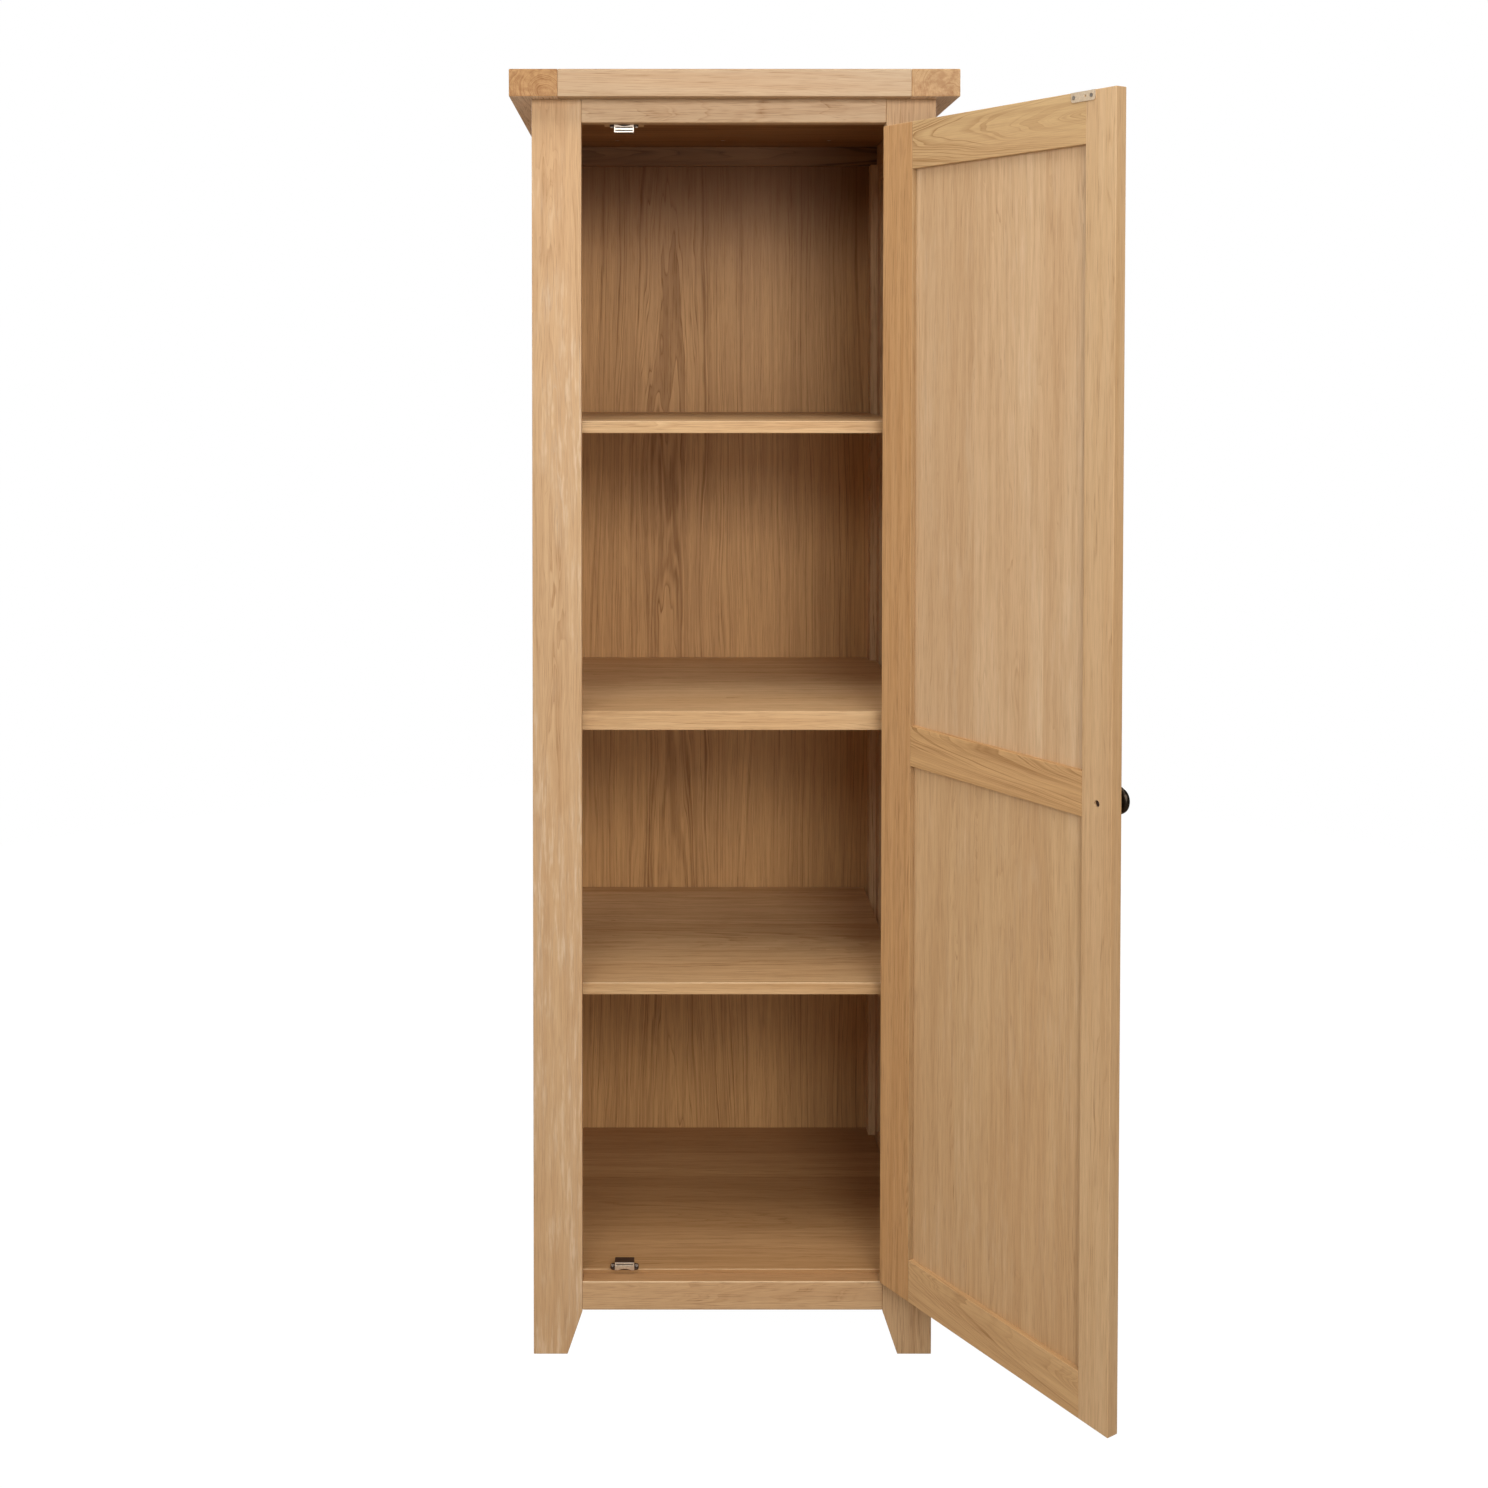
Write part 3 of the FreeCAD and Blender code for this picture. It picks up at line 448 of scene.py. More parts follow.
# ------------------------------------------------------------------ side frames
# Each side is a frame of two leg boards and two rails, tongued round one tall veneered panel that lies
# a little below their face. The leg boards have the same tapered feet.
PANEL_TONGUE = 0.008
for side, sign in (("left", -1), ("right", 1)):
    front_leg = box_of("side_front_stile_" + side)
    rear_leg = box_of("side_rear_stile_" + side)
    for node, (low, high), outer, inner, seed in (
            ("side_front_stile_" + side, front_leg, front_face, front_leg[1].y, 31 + sign),
            ("side_rear_stile_" + side, rear_leg, rear_leg[1].y, rear_leg[0].y, 37 + sign)):
        board = sawn(node.replace("stile", "leg"), low, high)
        taper_foot(board, 1, outer, inner)
        ease(board)
        oak(board, low, high, seed=seed, heart=(0.01 * sign, 0.05), lean=0.018, figure=0.45)
        fit(board, "cabinet", "oak_frame", node)
    for node, seed in (("side_bottom_rail_" + side, 43 + sign), ("side_top_rail_" + side, 47 + sign)):
        low, high = box_of(node)
        low.y, high.y = front_leg[1].y, rear_leg[0].y
        board = sawn(node + "_board", low, high)
        ease(board)
        oak(board, low, high, seed=seed, heart=(0.0, 0.06), lean=0.05, figure=0.5)
        fit(board, "cabinet", "oak_frame", node)
    low, high = box_of("side_panel_" + side)
    low.y, high.y = front_leg[1].y, rear_leg[0].y
    low.z = box_of("side_bottom_rail_" + side)[1].z - PANEL_TONGUE
    high.z = box_of("side_top_rail_" + side)[0].z + PANEL_TONGUE
    panel = sawn("side_veneer_" + side, low, high)
    ease(panel, THIN_EASE)
    oak(panel, low, high, seed=53 + sign, heart=(0.05, 0.16), lean=0.012, figure=0.4, staves=0.19)
    fit(panel, "cabinet", "oak_veneer", "side_panel_" + side)

# ------------------------------------------------------------------ back and ceiling
# A veneered back let into the rear leg boards, a slim rail across its top inside, and a thin ceiling
# board under the top.
BACK_LATE = colour(0.64, 0.36, 0.142)
BACK_EARLY = colour(0.24, 0.10, 0.026)
# The back rail and the ceiling board are coloured much darker than the other oak inside: painted shade under
# the top.
BACK_RAIL_PAINTED_SHADE_LATE = colour(0.16, 0.055, 0.010)
CEILING_PAINTED_SHADE_LATE = colour(0.30, 0.135, 0.04)
PAINTED_SHADE_UNDER_TOP_EARLY = colour(0.06, 0.018, 0.004)
# The inner face of the back darkens over its upper part: painted shade for the shadow under the top and the
# face rail.
PAINTED_SHADE_START = 1.52
PAINTED_SHADE_END = 1.83
PAINTED_SHADE_SHARE = 0.8
low, high = box_of("back_panel")
back = sawn("back_veneer", low, high)
ease(back, THIN_EASE)
back_grain = dict(seed=61, late=BACK_LATE, early=BACK_EARLY, heart=(0.09, 0.1), lean=0.014, ring=0.0072,
                  figure=0.85, pores=0.6, thin=5.5, drift_share=0.2, veil_share=0.25, waver_size=0.0095)
oak(back, low, high, **back_grain)
middle_z = (low.z + high.z) / 2
# Inner face only, with painted shade towards its top.
oak(back, low, high, **back_grain, only=lambda face: face.normal.y < -FACING,
    painted_shade=(2, PAINTED_SHADE_START - middle_z, PAINTED_SHADE_END - middle_z, PAINTED_SHADE_SHARE))
fit(back, "cabinet", "oak_veneer", "back_panel")
# Both boards take the darker colours: painted shade.
for node, name, seed, late in (("back_top_rail", "back_rail", 67, BACK_RAIL_PAINTED_SHADE_LATE),
                               ("ceiling_panel", "ceiling_board", 71, CEILING_PAINTED_SHADE_LATE)):
    low, high = box_of(node)
    board = sawn(name, low, high)
    ease(board)
    oak(board, low, high, seed=seed, late=late, early=PAINTED_SHADE_UNDER_TOP_EARLY, heart=(0.0, 0.03), lean=0.03,
        ring=0.009, figure=0.9)
    fit(board, "cabinet", "oak_inside", node)

# ------------------------------------------------------------------ top
# A thick centre board between two end blocks whose grain runs front to back, standing proud of the
# legs all round. The front upper arris is chamfered, the others are well eased.
low, high = box_of("top_board")
end_left, end_right = box_of("top_end_block_left"), box_of("top_end_block_right")
CHAMFER = 0.003
TOP_EASE = 0.0012
SQUARE = 1.2
END_FACING = 0.5
TOP_LATE = colour(0.49, 0.36, 0.23)
END_LATE = {"top_end_left": colour(0.455, 0.25, 0.095), "top_end_right": colour(0.46, 0.29, 0.135)}
END_EARLY = colour(0.24, 0.09, 0.022)
# The undersides of the end blocks get a paler copy of the oak: painted light bounced up from the floor.
UNDERSIDE_PAINTED_LIGHT_LATE = colour(0.86, 0.68, 0.50)
for node, name, (low, high), seed, slot in (
        ("top_board", "top_centre_board", (Vector((end_left[1].x, low.y, low.z)),
                                           Vector((end_right[0].x, high.y, high.z))), 79, "oak_top"),
        ("top_end_block_left", "top_end_left", end_left, 83, "oak_end_blocks"),
        ("top_end_block_right", "top_end_right", end_right, 91, "oak_end_blocks")):
    slab = sawn(name, low, high)
    ease(slab, CHAMFER, 3, lambda middle, edge: middle.y < low.y + TOUCH and middle.z > high.z - TOUCH)
    ease(slab, TOP_EASE, 2, lambda middle, edge: edge.calc_face_angle(0) > SQUARE)
    if name == "top_centre_board":
        oak(slab, low, high, seed=seed, late=TOP_LATE, heart=(0.16, 0.12), lean=0.05,
            figure=0.4, pores=0.55, staves=0.11, grain=0)
    else:
        oak(slab, low, high, seed=seed, heart=(0.022, 0.03), figure=0.5)
        # Undersides: painted bounce light.
        oak(slab, low, high, seed=seed, late=UNDERSIDE_PAINTED_LIGHT_LATE, heart=(0.022, 0.03), figure=0.5,
            only=lambda face: face.normal.z < -FACING)
        oak(slab, low, high, seed=seed, late=END_LATE[slab.name], early=END_EARLY, heart=(0.022, 0.02),
            lean=0.02, ring=0.0075, figure=0.9, pores=0.2, drift_share=0.6, veil_share=0.5,
            only=lambda face: abs(face.normal.y) > END_FACING)
    fit(slab, "cabinet", slot, node)

# ------------------------------------------------------------------ floor, shelves and their bearers
# Solid staved boards. The floor and the thick middle shelf rest on cleats, and the two thinner shelves
# lie loose on steel pins in the drilled battens.
SHELF_LATE = colour(0.77, 0.54, 0.30)
SHELF_EARLY = colour(0.40, 0.205, 0.07)
FLOOR_LATE = colour(0.59, 0.35, 0.16)
FLOOR_EARLY = colour(0.32, 0.155, 0.05)
# The floor board darkens towards the rear: painted shade under the lower shelf.
for node, name, seed, late, early, painted_shade in (
        ("floor_panel", "floor_board", 101, FLOOR_LATE, FLOOR_EARLY, (0, 0.0, 0.24, 0.3)),
        ("lower_shelf", "shelf_lower_board", 107, SHELF_LATE, SHELF_EARLY, None),
        ("upper_shelf", "shelf_upper_board", 113, SHELF_LATE, SHELF_EARLY, None)):
    low, high = box_of(node)
    board = sawn(name, low, high)
    ease(board)
    oak(board, low, high, seed=seed, late=late, early=early, heart=(0.02, 0.06), lean=0.03, figure=0.6,
        pores=0.6, staves=0.085, stave_share=0.4, veil_share=0.4, painted_shade=painted_shade)
    # Eased upper front edge: painted highlight.
    oak(board, low, high, seed=seed, late=ARRIS_PAINTED_HIGHLIGHT_LATE, early=LATEWOOD, heart=(0.02, 0.06), lean=0.03,
        only=front_arris)
    fit(board, "cabinet", "oak_inside", node)

low, high = box_of("fixed_shelf")
board = sawn("shelf_fixed_board", low, high)
NOTCH_ROOM = 0.0005
for side in ("left", "right"):
    for row in ("front", "rear"):
        batten_low, batten_high = box_of(f"shelf_batten_{row}_{side}")
        gap = Vector((NOTCH_ROOM, NOTCH_ROOM, 0))
        cut_away(board, sawn("notch", batten_low - gap, batten_high + gap))
ease(board)
oak(board, low, high, seed=127, late=SHELF_LATE, early=SHELF_EARLY, heart=(0.02, 0.06), lean=0.03,
    figure=0.6, pores=0.6, staves=0.085, stave_share=0.35, veil_share=0.35)
fit(board, "cabinet", "oak_inside", "fixed_shelf")

for side in ("left", "right"):
    for node, seed in ((f"shelf_batten_front_{side}", 131), (f"shelf_batten_rear_{side}", 137),
                       (f"fixed_shelf_cleat_{side}", 139), (f"floor_cleat_{side}", 149)):
        oak(frame["nodes"][node], *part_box(node), seed=seed + len(side), late=SHELF_LATE,
            early=SHELF_EARLY, figure=0.5)
oak(frame["nodes"]["catch_block"], *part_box("catch_block"), seed=151, late=SHELF_LATE, early=SHELF_EARLY)


METAL_PATCH = (400, 400, 400)
METAL_SCRATCH = (900, 900, 30)
METAL_RELIEF = 0.00004


def metal(name, bright, dull, roughness):
    """A metal finish with faint clouds, fine marks and a little unevenness."""
    material = new_finish(name)
    place = Value.of("TexCoord", output="Object")
    patch = cloud(place, METAL_PATCH, 1, 3)
    mark = cloud(place, METAL_SCRATCH, 2, 2, 0.6)
    shade = tint(patch.rise(0.3, 0.75) * 0.6 + mark * 0.2, bright, dull)
    finish(shade, roughness + patch * 0.12 + mark.rise(0.55, 0.8) * 0.12, mark + patch * 0.5,
           METAL_RELIEF, 0.3, Metallic=1.0)
    return material


def coat(piece, material):
    """Gives a piece one finish all over."""
    piece.data.materials.clear()
    piece.data.materials.append(material)
    return piece


steel = metal("bright_steel", colour(0.78, 0.77, 0.75), colour(0.55, 0.54, 0.52), 0.26)
coat(frame["nodes"]["shelf_pins"], steel)

# ------------------------------------------------------------------ magnetic catches
# A dark moulded case with two screwed ears, and a nickelled pole plate clipped over its front, with a
# shallow arch along the edge by the wood. One stands on the floor, one hangs from a block.
nickel = metal("nickel_plate", colour(0.88, 0.78, 0.66), colour(0.66, 0.56, 0.46), 0.36)


MOULDED_PATCH = (300, 300, 300)
MOULDED_PIMPLE = (2600, 2600, 2600)
MOULDED_RELIEF = 0.00005


def moulded(name, dark, pale, roughness):
    """A moulded plastic with faint clouds and a fine pimple."""
    material = new_finish(name)
    place = Value.of("TexCoord", output="Object")
    patch = cloud(place, MOULDED_PATCH, 4, 3)
    pimple = cloud(place, MOULDED_PIMPLE, 5, 1)
    finish(tint(patch, dark, pale), roughness + pimple * 0.15, pimple, MOULDED_RELIEF, 0.4)
    return material


case_brown = moulded("dark_moulding", colour(0.03, 0.014, 0.008), colour(0.06, 0.032, 0.02), 0.35)
ferrite = moulded("magnet_grey", colour(0.05, 0.05, 0.05), colour(0.11, 0.11, 0.11), 0.6)
EAR_WIDTH = 0.0065
EAR_THICKNESS = 0.0024
EAR_CORNER = 0.0045
CASE_EASE = 0.0012
PLATE_SHEET = 0.0012
PLATE_EASE = 0.0003
ARCH_SAG = 0.0022
ARCH_SHARE = 0.34
SLIT_END = 0.0018
SLIT_HALF_HEIGHT = 0.0007
CATCH_HEAD = (0.0026, 0.0014)
HEAD_BED = 0.0002


def joined(name, pieces):
    """Makes one piece of several."""
    bpy.ops.object.select_all(action="DESELECT")
    for piece in pieces:
        piece.select_set(True)
    bpy.context.view_layer.objects.active = pieces[0]
    bpy.ops.object.join()
    return settle(named(name))


def screw_head(seat, radius, height, way, turn):
    """A flat screw head on its seat, with a cross cut into it."""
    bpy.ops.object.select_all(action="DESELECT")
    bpy.ops.mesh.primitive_cylinder_add(vertices=32, radius=radius, depth=height,
                                        location=(0, 0, height / 2))
    head = settle(named("head"))
    for arm_turn in (turn, turn + math.pi / 2):
        bpy.ops.mesh.primitive_cube_add(size=1, location=(0, 0, height), rotation=(0, 0, arm_turn),
                                        scale=(radius * 1.1, radius * 0.22, height * 1.1))
        cut_away(head, settle(named("cross")))
    turned = {"Z": Matrix(), "-Z": Matrix.Rotation(math.pi, 4, "X"),
              "Y": Matrix.Rotation(-math.pi / 2, 4, "X")}
    head.data.transform(Matrix.Translation(seat) @ turned[way])
    return head


plates, heads = [], []
front_y = box_of("catch_pole_plates")[0].y
inner_y = front_y + PLATE_SHEET
for place, up in (("bottom", 1), ("top", -1)):
    low, high = box_of("catch_case_" + place)
    foot = low.z if up > 0 else high.z
    crown = high.z if up > 0 else low.z
    ear_top = foot + EAR_THICKNESS * up
    left, right = low.x + EAR_WIDTH, high.x - EAR_WIDTH
    shell = sawn("catch_shell_" + place, (left, inner_y, min(foot, crown)),
                 (right, high.y, max(foot, crown)))
    ease(shell, CASE_EASE, 3)
    ears = sawn("ears", (low.x, low.y, min(foot, ear_top)), (high.x, high.y, max(foot, ear_top)))
    pick(ears, "EDGE", lambda middle, edge: abs(edge.verts[0].co.z - edge.verts[1].co.z) > TOUCH)
    bpy.ops.mesh.bevel(offset=EAR_CORNER, segments=5, affect="EDGES")
    settle(ears)
    ease(ears, THIN_EASE)
    case = joined("catch_body_" + place, [shell, ears])
    coat(case, case_brown)
    fit(case, "cabinet", "catch_plastic", "catch_case_" + place)

    plate = sawn("plate", (left, front_y, min(foot, crown)), (right, inner_y, max(foot, crown)))
    middle_x = (left + right) / 2
    half = (right - left) * ARCH_SHARE
    bow = (half * half + ARCH_SAG * ARCH_SAG) / (2 * ARCH_SAG)
    bow_z = foot + (ARCH_SAG - bow) * up
    cut_away(plate, rod("arch", (middle_x, front_y - 2 * PAST, bow_z),
                        (middle_x, inner_y + 2 * PAST, bow_z), bow, 128))
    for slit_z in (crown - 0.0030 * up, foot + 0.0042 * up)[:1 if up > 0 else 2]:
        cut_away(plate, sawn("slit", (left + SLIT_END, front_y - PAST, slit_z - SLIT_HALF_HEIGHT),
                             (right - SLIT_END, inner_y + PAST, slit_z + SLIT_HALF_HEIGHT)))
    ease(plate, PLATE_EASE)
    plates.append(plate)
    for x in (low.x + EAR_WIDTH / 2, high.x - EAR_WIDTH / 2):
        heads.append(screw_head((x, (low.y + high.y) / 2, ear_top - HEAD_BED * up), *CATCH_HEAD,
                                "Z" if up > 0 else "-Z", x * 40))

pole_plates = joined("catch_front_plates", plates)
coat(pole_plates, nickel)
fit(pole_plates, "cabinet", "nickel", "catch_pole_plates")
catch_heads = joined("catch_screw_heads", heads)
coat(catch_heads, metal("zinc_plate", colour(0.92, 0.86, 0.78), colour(0.72, 0.66, 0.58), 0.5))
fit(catch_heads, "cabinet", "bright_steel", "catch_screws")
coat(frame["nodes"]["catch_magnets"], ferrite)
coat(frame["nodes"]["top_screws"], steel)

# ------------------------------------------------------------------ door frame and panels
# Two stiles and three rails, tongued round two flat panels that lie nearer to the outer face. The door
# is made shut and then hung open on its pins.
open_angle = -math.radians(hinge_joint["range_deg"][0])
swing = Matrix.Translation(pin) @ Matrix.Rotation(open_angle, 4, "Z") @ Matrix.Translation(-pin)


def shut_box(node):
    """The two corners of a piece of the door as it is when the door is shut."""
    back_again = swing.inverted()
    corners = [back_again @ vertex.co for vertex in frame["nodes"][node].data.vertices]
    return (Vector([min(corner[axis] for corner in corners) for axis in range(3)]),
            Vector([max(corner[axis] for corner in corners) for axis in range(3)]))


def hang(piece):
    """Swings a piece of the door open about the hinge pins."""
    pick(piece, "VERT", lambda middle, vert: True)
    bpy.ops.transform.rotate(value=-open_angle, orient_axis="Z", center_override=pin)
    return settle(piece)


free_stile = shut_box("door_free_stile")
hinge_stile = shut_box("door_hinge_stile")
DOOR_LATE = colour(0.67, 0.455, 0.25)
DOOR_EARLY = colour(0.42, 0.215, 0.07)
# The free edge of the door gets a darker copy of the oak: painted shade.
FREE_EDGE_PAINTED_SHADE_LATE = colour(0.56, 0.37, 0.20)
# The hinge stile's inner face gets a more orange copy of the oak: painted warm light reflected from the
# cabinet.
INNER_FACE_PAINTED_REFLECTION_LATE = colour(0.60, 0.34, 0.145)
INNER_FACE_PAINTED_REFLECTION_EARLY = colour(0.40, 0.19, 0.06)
# The hinge stile's inner edge gets a darker, duller copy of the oak: painted shade.
INNER_EDGE_PAINTED_SHADE_LATE = colour(0.42, 0.28, 0.14)
INNER_EDGE_PAINTED_SHADE_EARLY = colour(0.26, 0.14, 0.05)
DOOR_RAIL_EARLY = colour(0.30, 0.14, 0.04)
PANEL_EARLY = colour(0.40, 0.21, 0.08)
COUNTERBORE_RADIUS = 0.0044
COUNTERBORE_DEPTH = 0.006
MORTISE_DEPTH = 0.014

low, high = free_stile
board = sawn("door_stile_free", low, high)
knob_hole = shut_box("knob_screw")
hole_x = (knob_hole[0].x + knob_hole[1].x) / 2
hole_z = (knob_hole[0].z + knob_hole[1].z) / 2
ease(board)
cut_away(board, rod("counterbore", (hole_x, high.y - COUNTERBORE_DEPTH, hole_z),
                    (hole_x, high.y + 3 * PAST, hole_z), COUNTERBORE_RADIUS))
oak(board, low, high, seed=163, late=DOOR_LATE, early=DOOR_EARLY, heart=(0.05, 0.12), lean=0.008,
    figure=0.35, pores=0.45, swing=swing)
# Free edge: painted shade.
oak(board, low, high, seed=163, late=FREE_EDGE_PAINTED_SHADE_LATE, early=DOOR_EARLY, heart=(0.05, 0.12),
    lean=0.008, pores=0.5, swing=swing, only=lambda face: face.normal.x < -FACING)
hang(board)
fit(board, "door", "oak_door", "door_free_stile")

low, high = hinge_stile
board = sawn("door_stile_hinge", low, high)
ease(board)
for low_z, high_z in hinge_heights.values():
    cut_away(board, sawn("mortise", (high.x - LEAF_THICKNESS, pin.y - LEAF_THICKNESS / 2, low_z),
                         (high.x + LEAF_THICKNESS, pin.y - LEAF_THICKNESS / 2 + MORTISE_DEPTH, high_z)))
oak(board, low, high, seed=167, late=DOOR_LATE, early=DOOR_EARLY, heart=(0.06, 0.10), lean=0.01,
    figure=0.5, pores=0.45, swing=swing)
# Inner face: painted reflected light.
oak(board, low, high, seed=167, late=INNER_FACE_PAINTED_REFLECTION_LATE, early=INNER_FACE_PAINTED_REFLECTION_EARLY, heart=(0.06, 0.10),
    lean=0.01, figure=0.6, veil_share=0.4, swing=swing, only=lambda face: face.normal.y > FACING)
# Inner edge: painted shade.
oak(board, low, high, seed=168, late=INNER_EDGE_PAINTED_SHADE_LATE, early=INNER_EDGE_PAINTED_SHADE_EARLY, heart=(0.06, 0.10),
    lean=0.01, swing=swing, only=lambda face: face.normal.x < -FACING)
hang(board)
fit(board, "door", "oak_door", "door_hinge_stile")

for node, name, seed, heart, figure, late in (
        ("door_top_rail", "door_rail_top", 173, (0.01, 0.035), 1.0, colour(0.62, 0.415, 0.20)),
        ("door_middle_rail", "door_rail_middle", 179, (0.03, 0.03), 0.95, colour(0.66, 0.40, 0.175)),
        ("door_bottom_rail", "door_rail_bottom", 181, (0.02, 0.04), 0.6, colour(0.66, 0.42, 0.20))):
    low, high = shut_box(node)
    low.x, high.x = free_stile[1].x, hinge_stile[0].x
    board = sawn(name, low, high)
    ease(board)
    oak(board, low, high, seed=seed, late=late, early=DOOR_RAIL_EARLY, heart=heart, lean=0.08,
        figure=figure, ring=0.007, pores=0.2, thin=2.6, swing=swing)
    hang(board)
    fit(board, "door", "oak_door", node)

for node, name, seed, late in (
        ("door_upper_panel", "door_panel_upper", 191, colour(0.71, 0.495, 0.29)),
        ("door_lower_panel", "door_panel_lower", 193, colour(0.67, 0.445, 0.235))):
    low, high = shut_box(node)
    board = sawn(name, low, high)
    ease(board, THIN_EASE)
    oak(board, low, high, seed=seed, late=late, early=PANEL_EARLY, heart=(0.02, 0.14), lean=0.02,
        figure=0.42, waver_size=0.02, pores=0.4, rays=0.09, staves=0.13, stave_share=0.14,
        veil_share=0.3, swing=swing)
    hang(board)
    fit(board, "door", "oak_veneer", node)

# ------------------------------------------------------------------ hinges
# Brass butt hinges, let into the stile and the door edge, each with five knuckles on a loose pin and
# two screws in each leaf.
brass = metal("satin_brass", colour(0.78, 0.58, 0.27), colour(0.58, 0.40, 0.16), 0.30)
for name in hinge_names:
    coat(frame["nodes"]["hinge_frame_leaf_" + name], brass)
    coat(frame["nodes"]["hinge_door_leaf_" + name], brass)
for node in ("hinge_pins", "hinge_frame_screws", "hinge_door_screws"):
    coat(frame["nodes"][node], brass)

# ------------------------------------------------------------------ strike plate
# A nickelled steel strip across the top of the free stile, its two lower corners rounded, held by a
# screw near each end, with a small dimple between them.
STRIKE_CORNER = 0.0038
STRIKE_EASE = 0.0002
SINK_RADIUS = 0.0028
SINK_DEPTH = 0.0008
DIMPLE_RADIUS = 0.0015
DIMPLE_SHARE = 0.33
STRIKE_SCREW_RADIUS = 0.003
STRIKE_HEAD = (SINK_RADIUS - 0.0005, 0.0008)
STRIKE_HEAD_BED = 0.0009
low, high = shut_box("strike_plate")
strike = sawn("strike_strip", low, high)
pick(strike, "EDGE", lambda middle, edge: middle.z < (low.z + high.z) / 2
     and abs(edge.verts[0].co.y - edge.verts[1].co.y) > TOUCH)
bpy.ops.mesh.bevel(offset=STRIKE_CORNER, segments=5, affect="EDGES")
settle(strike)
strike_screws = shut_box("strike_screws")
level = (strike_screws[0].z + strike_screws[1].z) / 2
seats = (strike_screws[0].x + STRIKE_SCREW_RADIUS, strike_screws[1].x - STRIKE_SCREW_RADIUS)
for x in seats:
    cut_away(strike, rod("sink", (x, high.y - SINK_DEPTH, level), (x, high.y + PAST, level), SINK_RADIUS))
dimple_x = seats[0] + (seats[1] - seats[0]) * DIMPLE_SHARE
cut_away(strike, rod("dimple", (dimple_x, low.y - PAST, level), (dimple_x, high.y + PAST, level),
                     DIMPLE_RADIUS, 24))
ease(strike, STRIKE_EASE)
coat(strike, metal("dull_nickel", colour(0.80, 0.65, 0.47), colour(0.60, 0.47, 0.33), 0.42))
hang(strike)
fit(strike, "door", "nickel", "strike_plate")
dull_steel = metal("dull_steel", colour(0.40, 0.36, 0.31), colour(0.20, 0.17, 0.14), 0.4)
strike_heads = joined("strike_screw_heads", [
    screw_head((x, high.y - STRIKE_HEAD_BED, level), *STRIKE_HEAD, "Y", 0.6) for x in seats])
coat(strike_heads, dull_steel)
hang(strike_heads)
fit(strike_heads, "door", "bright_steel", "strike_screws")

# ------------------------------------------------------------------ knob
# Turned in one piece from bronze and darkened: a foot ring, a waist and a broad domed head. One screw
# holds it, sunk in a hole in the inner face of the door.
low, high = shut_box("knob")
knob_x, knob_z = (low.x + high.x) / 2, (low.z + high.z) / 2
knob_radius, knob_reach, knob_seat = (high.x - low.x) / 2, high.y - low.y, high.y
KNOB_FOOT = (0.55, 0.04)
KNOB_OUTLINE = ((0.57, 0.07), (0.54, 0.12), (0.42, 0.18), (0.37, 0.30), (0.40, 0.42), (0.58, 0.48),
                (0.84, 0.55), (0.96, 0.62), (1.0, 0.71), (0.97, 0.79), (0.86, 0.88), (0.68, 0.94),
                (0.45, 0.98), (0.22, 0.995), (0.04, 1.0))
out, along = KNOB_FOOT
knob = rod("knob_turned", (knob_x, knob_seat, knob_z), (knob_x, knob_seat - knob_reach * along, knob_z),
           knob_radius * out, 64)
pick(knob, "FACE", lambda middle, face: middle.y < knob_seat - knob_reach * along * 0.9
     and len(face.verts) > 4)
for next_out, next_along in KNOB_OUTLINE:
    bpy.ops.mesh.extrude_region_move(
        TRANSFORM_OT_translate={"value": (0, knob_reach * (along - next_along), 0)})
    bpy.ops.transform.resize(value=(next_out / out, 1, next_out / out),
                             center_override=(knob_x, knob_seat - knob_reach * next_along, knob_z))
    out, along = next_out, next_along
settle(knob)
knob.select_set(True)
bpy.context.view_layer.objects.active = knob
bpy.ops.object.shade_smooth_by_angle(angle=math.radians(40))
bronze = metal("dark_bronze", colour(0.054, 0.040, 0.029), colour(0.019, 0.013, 0.009), 0.28)
coat(knob, bronze)
hang(knob)
fit(knob, "door", "dark_bronze", "knob")
# The knob screw is coloured near black: painted shade for its hole, sunk in the inner face of the door.
painted_shade_screw = metal("painted_shade_steel", colour(0.10, 0.06, 0.05), colour(0.04, 0.03, 0.03), 0.4)
coat(frame["nodes"]["knob_screw"], painted_shade_screw)

# ------------------------------------------------------------------ room, lights and camera
# A white floor in a white room. A row of three softboxes stands high in front, with a weak one below
# them, one to the left for the open door, one overhead, and two behind for the sides and back.
FLOOR_RADIUS = 3.2
FLOOR_GLOW = 1.07
FLOOR_SEEN = 0.93
CAMERA_DROP = 0.0256
bpy.ops.object.select_all(action="DESELECT")
bpy.ops.mesh.primitive_circle_add(vertices=96, radius=FLOOR_RADIUS, fill_type="NGON", location=(0, 0, 0))
floor = settle(named("studio_floor"))
material = new_finish("pale_floor")
place = Value.of("TexCoord", output="Object")
speck = cloud(place, (30, 30, 30), 3, 3)
paint = Value.of("BsdfDiffuse", {}, {"Color": tint(speck, colour(0.5, 0.43, 0.36), colour(0.46, 0.4, 0.33))})
lit_from_below = Value.of("Emission", {}, {"Strength": FLOOR_GLOW})
seen = Value.of("LightPath", output="Is Camera Ray")
mixed = Value.of("MixShader", {}, {0: seen * FLOOR_SEEN, 1: paint, 2: lit_from_below})
Value.of("OutputMaterial", {}, {"Surface": mixed})
coat(floor, material)


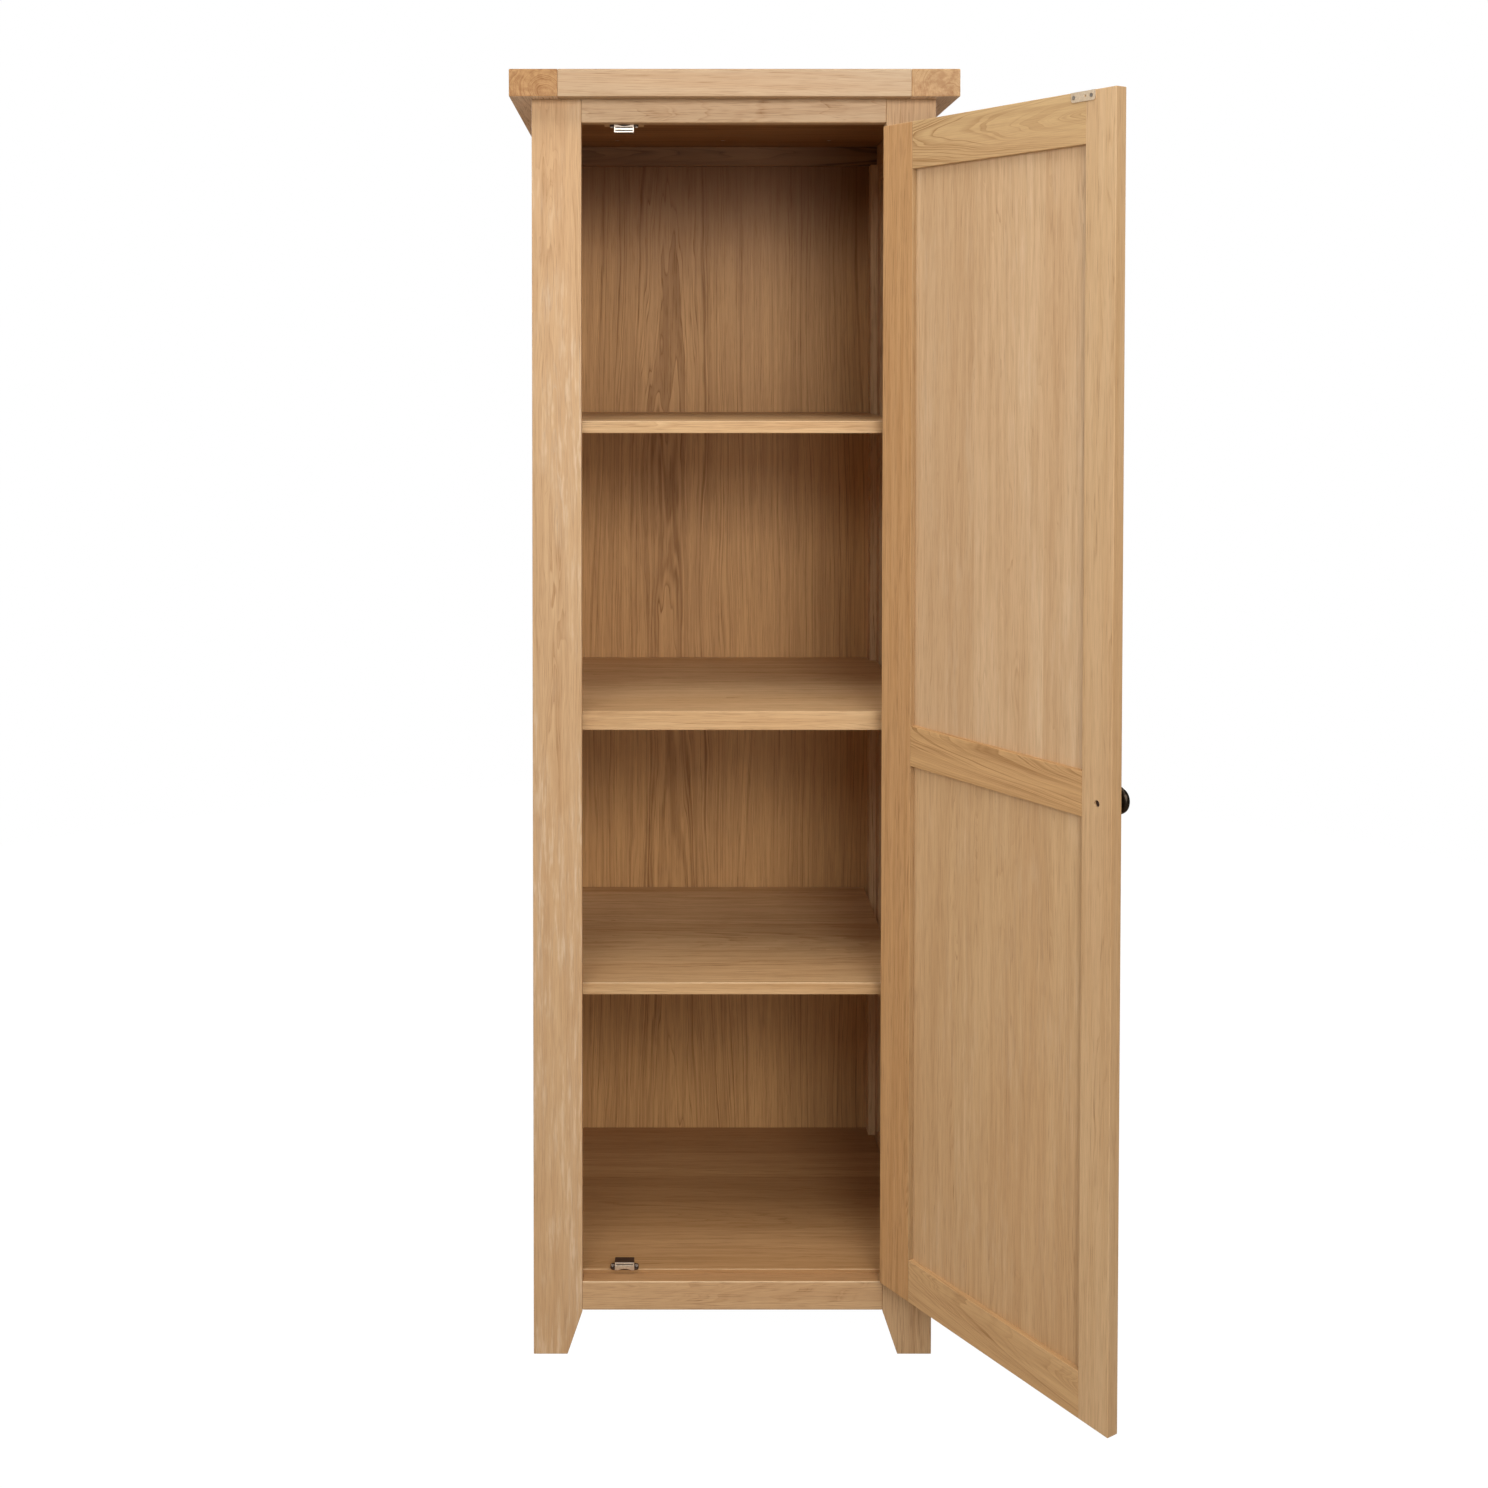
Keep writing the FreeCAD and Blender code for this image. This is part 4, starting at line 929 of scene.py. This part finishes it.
def softbox(name, location, target, width, height, brightness):
    """A square lamp of even brightness, facing the target."""
    lamp = bpy.data.lights.new(name, "AREA")
    lamp.shape = "RECTANGLE"
    lamp.size = width
    lamp.size_y = height
    lamp.energy = brightness * math.pi * width * height
    holder = bpy.data.objects.new(name, lamp)
    bpy.context.scene.collection.objects.link(holder)
    holder.location = location
    holder.rotation_euler = (Vector(target) - Vector(location)).to_track_quat("-Z", "Y").to_euler()


LAMPS_Y = -3.2
MIDDLE = (0.0, 0.0, 1.1)
softbox("softbox_key", (0.6, LAMPS_Y, 2.25), MIDDLE, 1.0, 0.9, 11.4)
softbox("softbox_right", (2.1, LAMPS_Y, 2.5), MIDDLE, 1.0, 0.8, 10.0)
softbox("softbox_left", (-0.9, LAMPS_Y, 2.5), MIDDLE, 1.0, 0.8, 6.6)
softbox("softbox_low", (0.6, LAMPS_Y, 1.2), MIDDLE, 1.0, 0.8, 4.8)
softbox("softbox_side", (-3.2, -1.2, 1.6), MIDDLE, 1.0, 1.6, 6.6)
softbox("softbox_above", (0.0, -1.2, 3.6), (0.0, -0.3, 1.1), 2.0, 1.0, 6.2)
softbox("softbox_back_left", (-2.6, 2.6, 2.2), (0.0, 0.0, 1.0), 1.4, 1.8, 9.0)
softbox("softbox_back_right", (2.6, 2.6, 2.2), (0.0, 0.0, 1.0), 1.4, 1.8, 9.0)

world = bpy.data.worlds.new("studio")
bpy.context.scene.world = world
world.use_nodes = True
world.node_tree.nodes.clear()
Value.tree = world.node_tree
seen = Value.of("LightPath", output="Is Camera Ray")
soft = Value.of("Background", {}, {"Color": colour(1, 1, 1), "Strength": 0.12})
white = Value.of("Background", {}, {"Color": colour(1, 1, 1), "Strength": 1.0})
room = Value.of("MixShader", {}, {0: seen, 1: soft, 2: white})
Value.of("OutputWorld", {}, {"Surface": room})
bpy.context.scene.view_settings.view_transform = "Standard"

camera = bpy.data.cameras.new("camera")
camera.sensor_width = 36
camera.lens = 41.64
camera.shift_x = 0.0585
camera.shift_y = -0.2264
holder = bpy.data.objects.new("camera", camera)
bpy.context.scene.collection.objects.link(holder)
holder.location = (-0.1117, -2.7663, 1.4666)
holder.rotation_euler = (math.pi / 2 - CAMERA_DROP, 0, 0)
bpy.context.scene.camera = holder
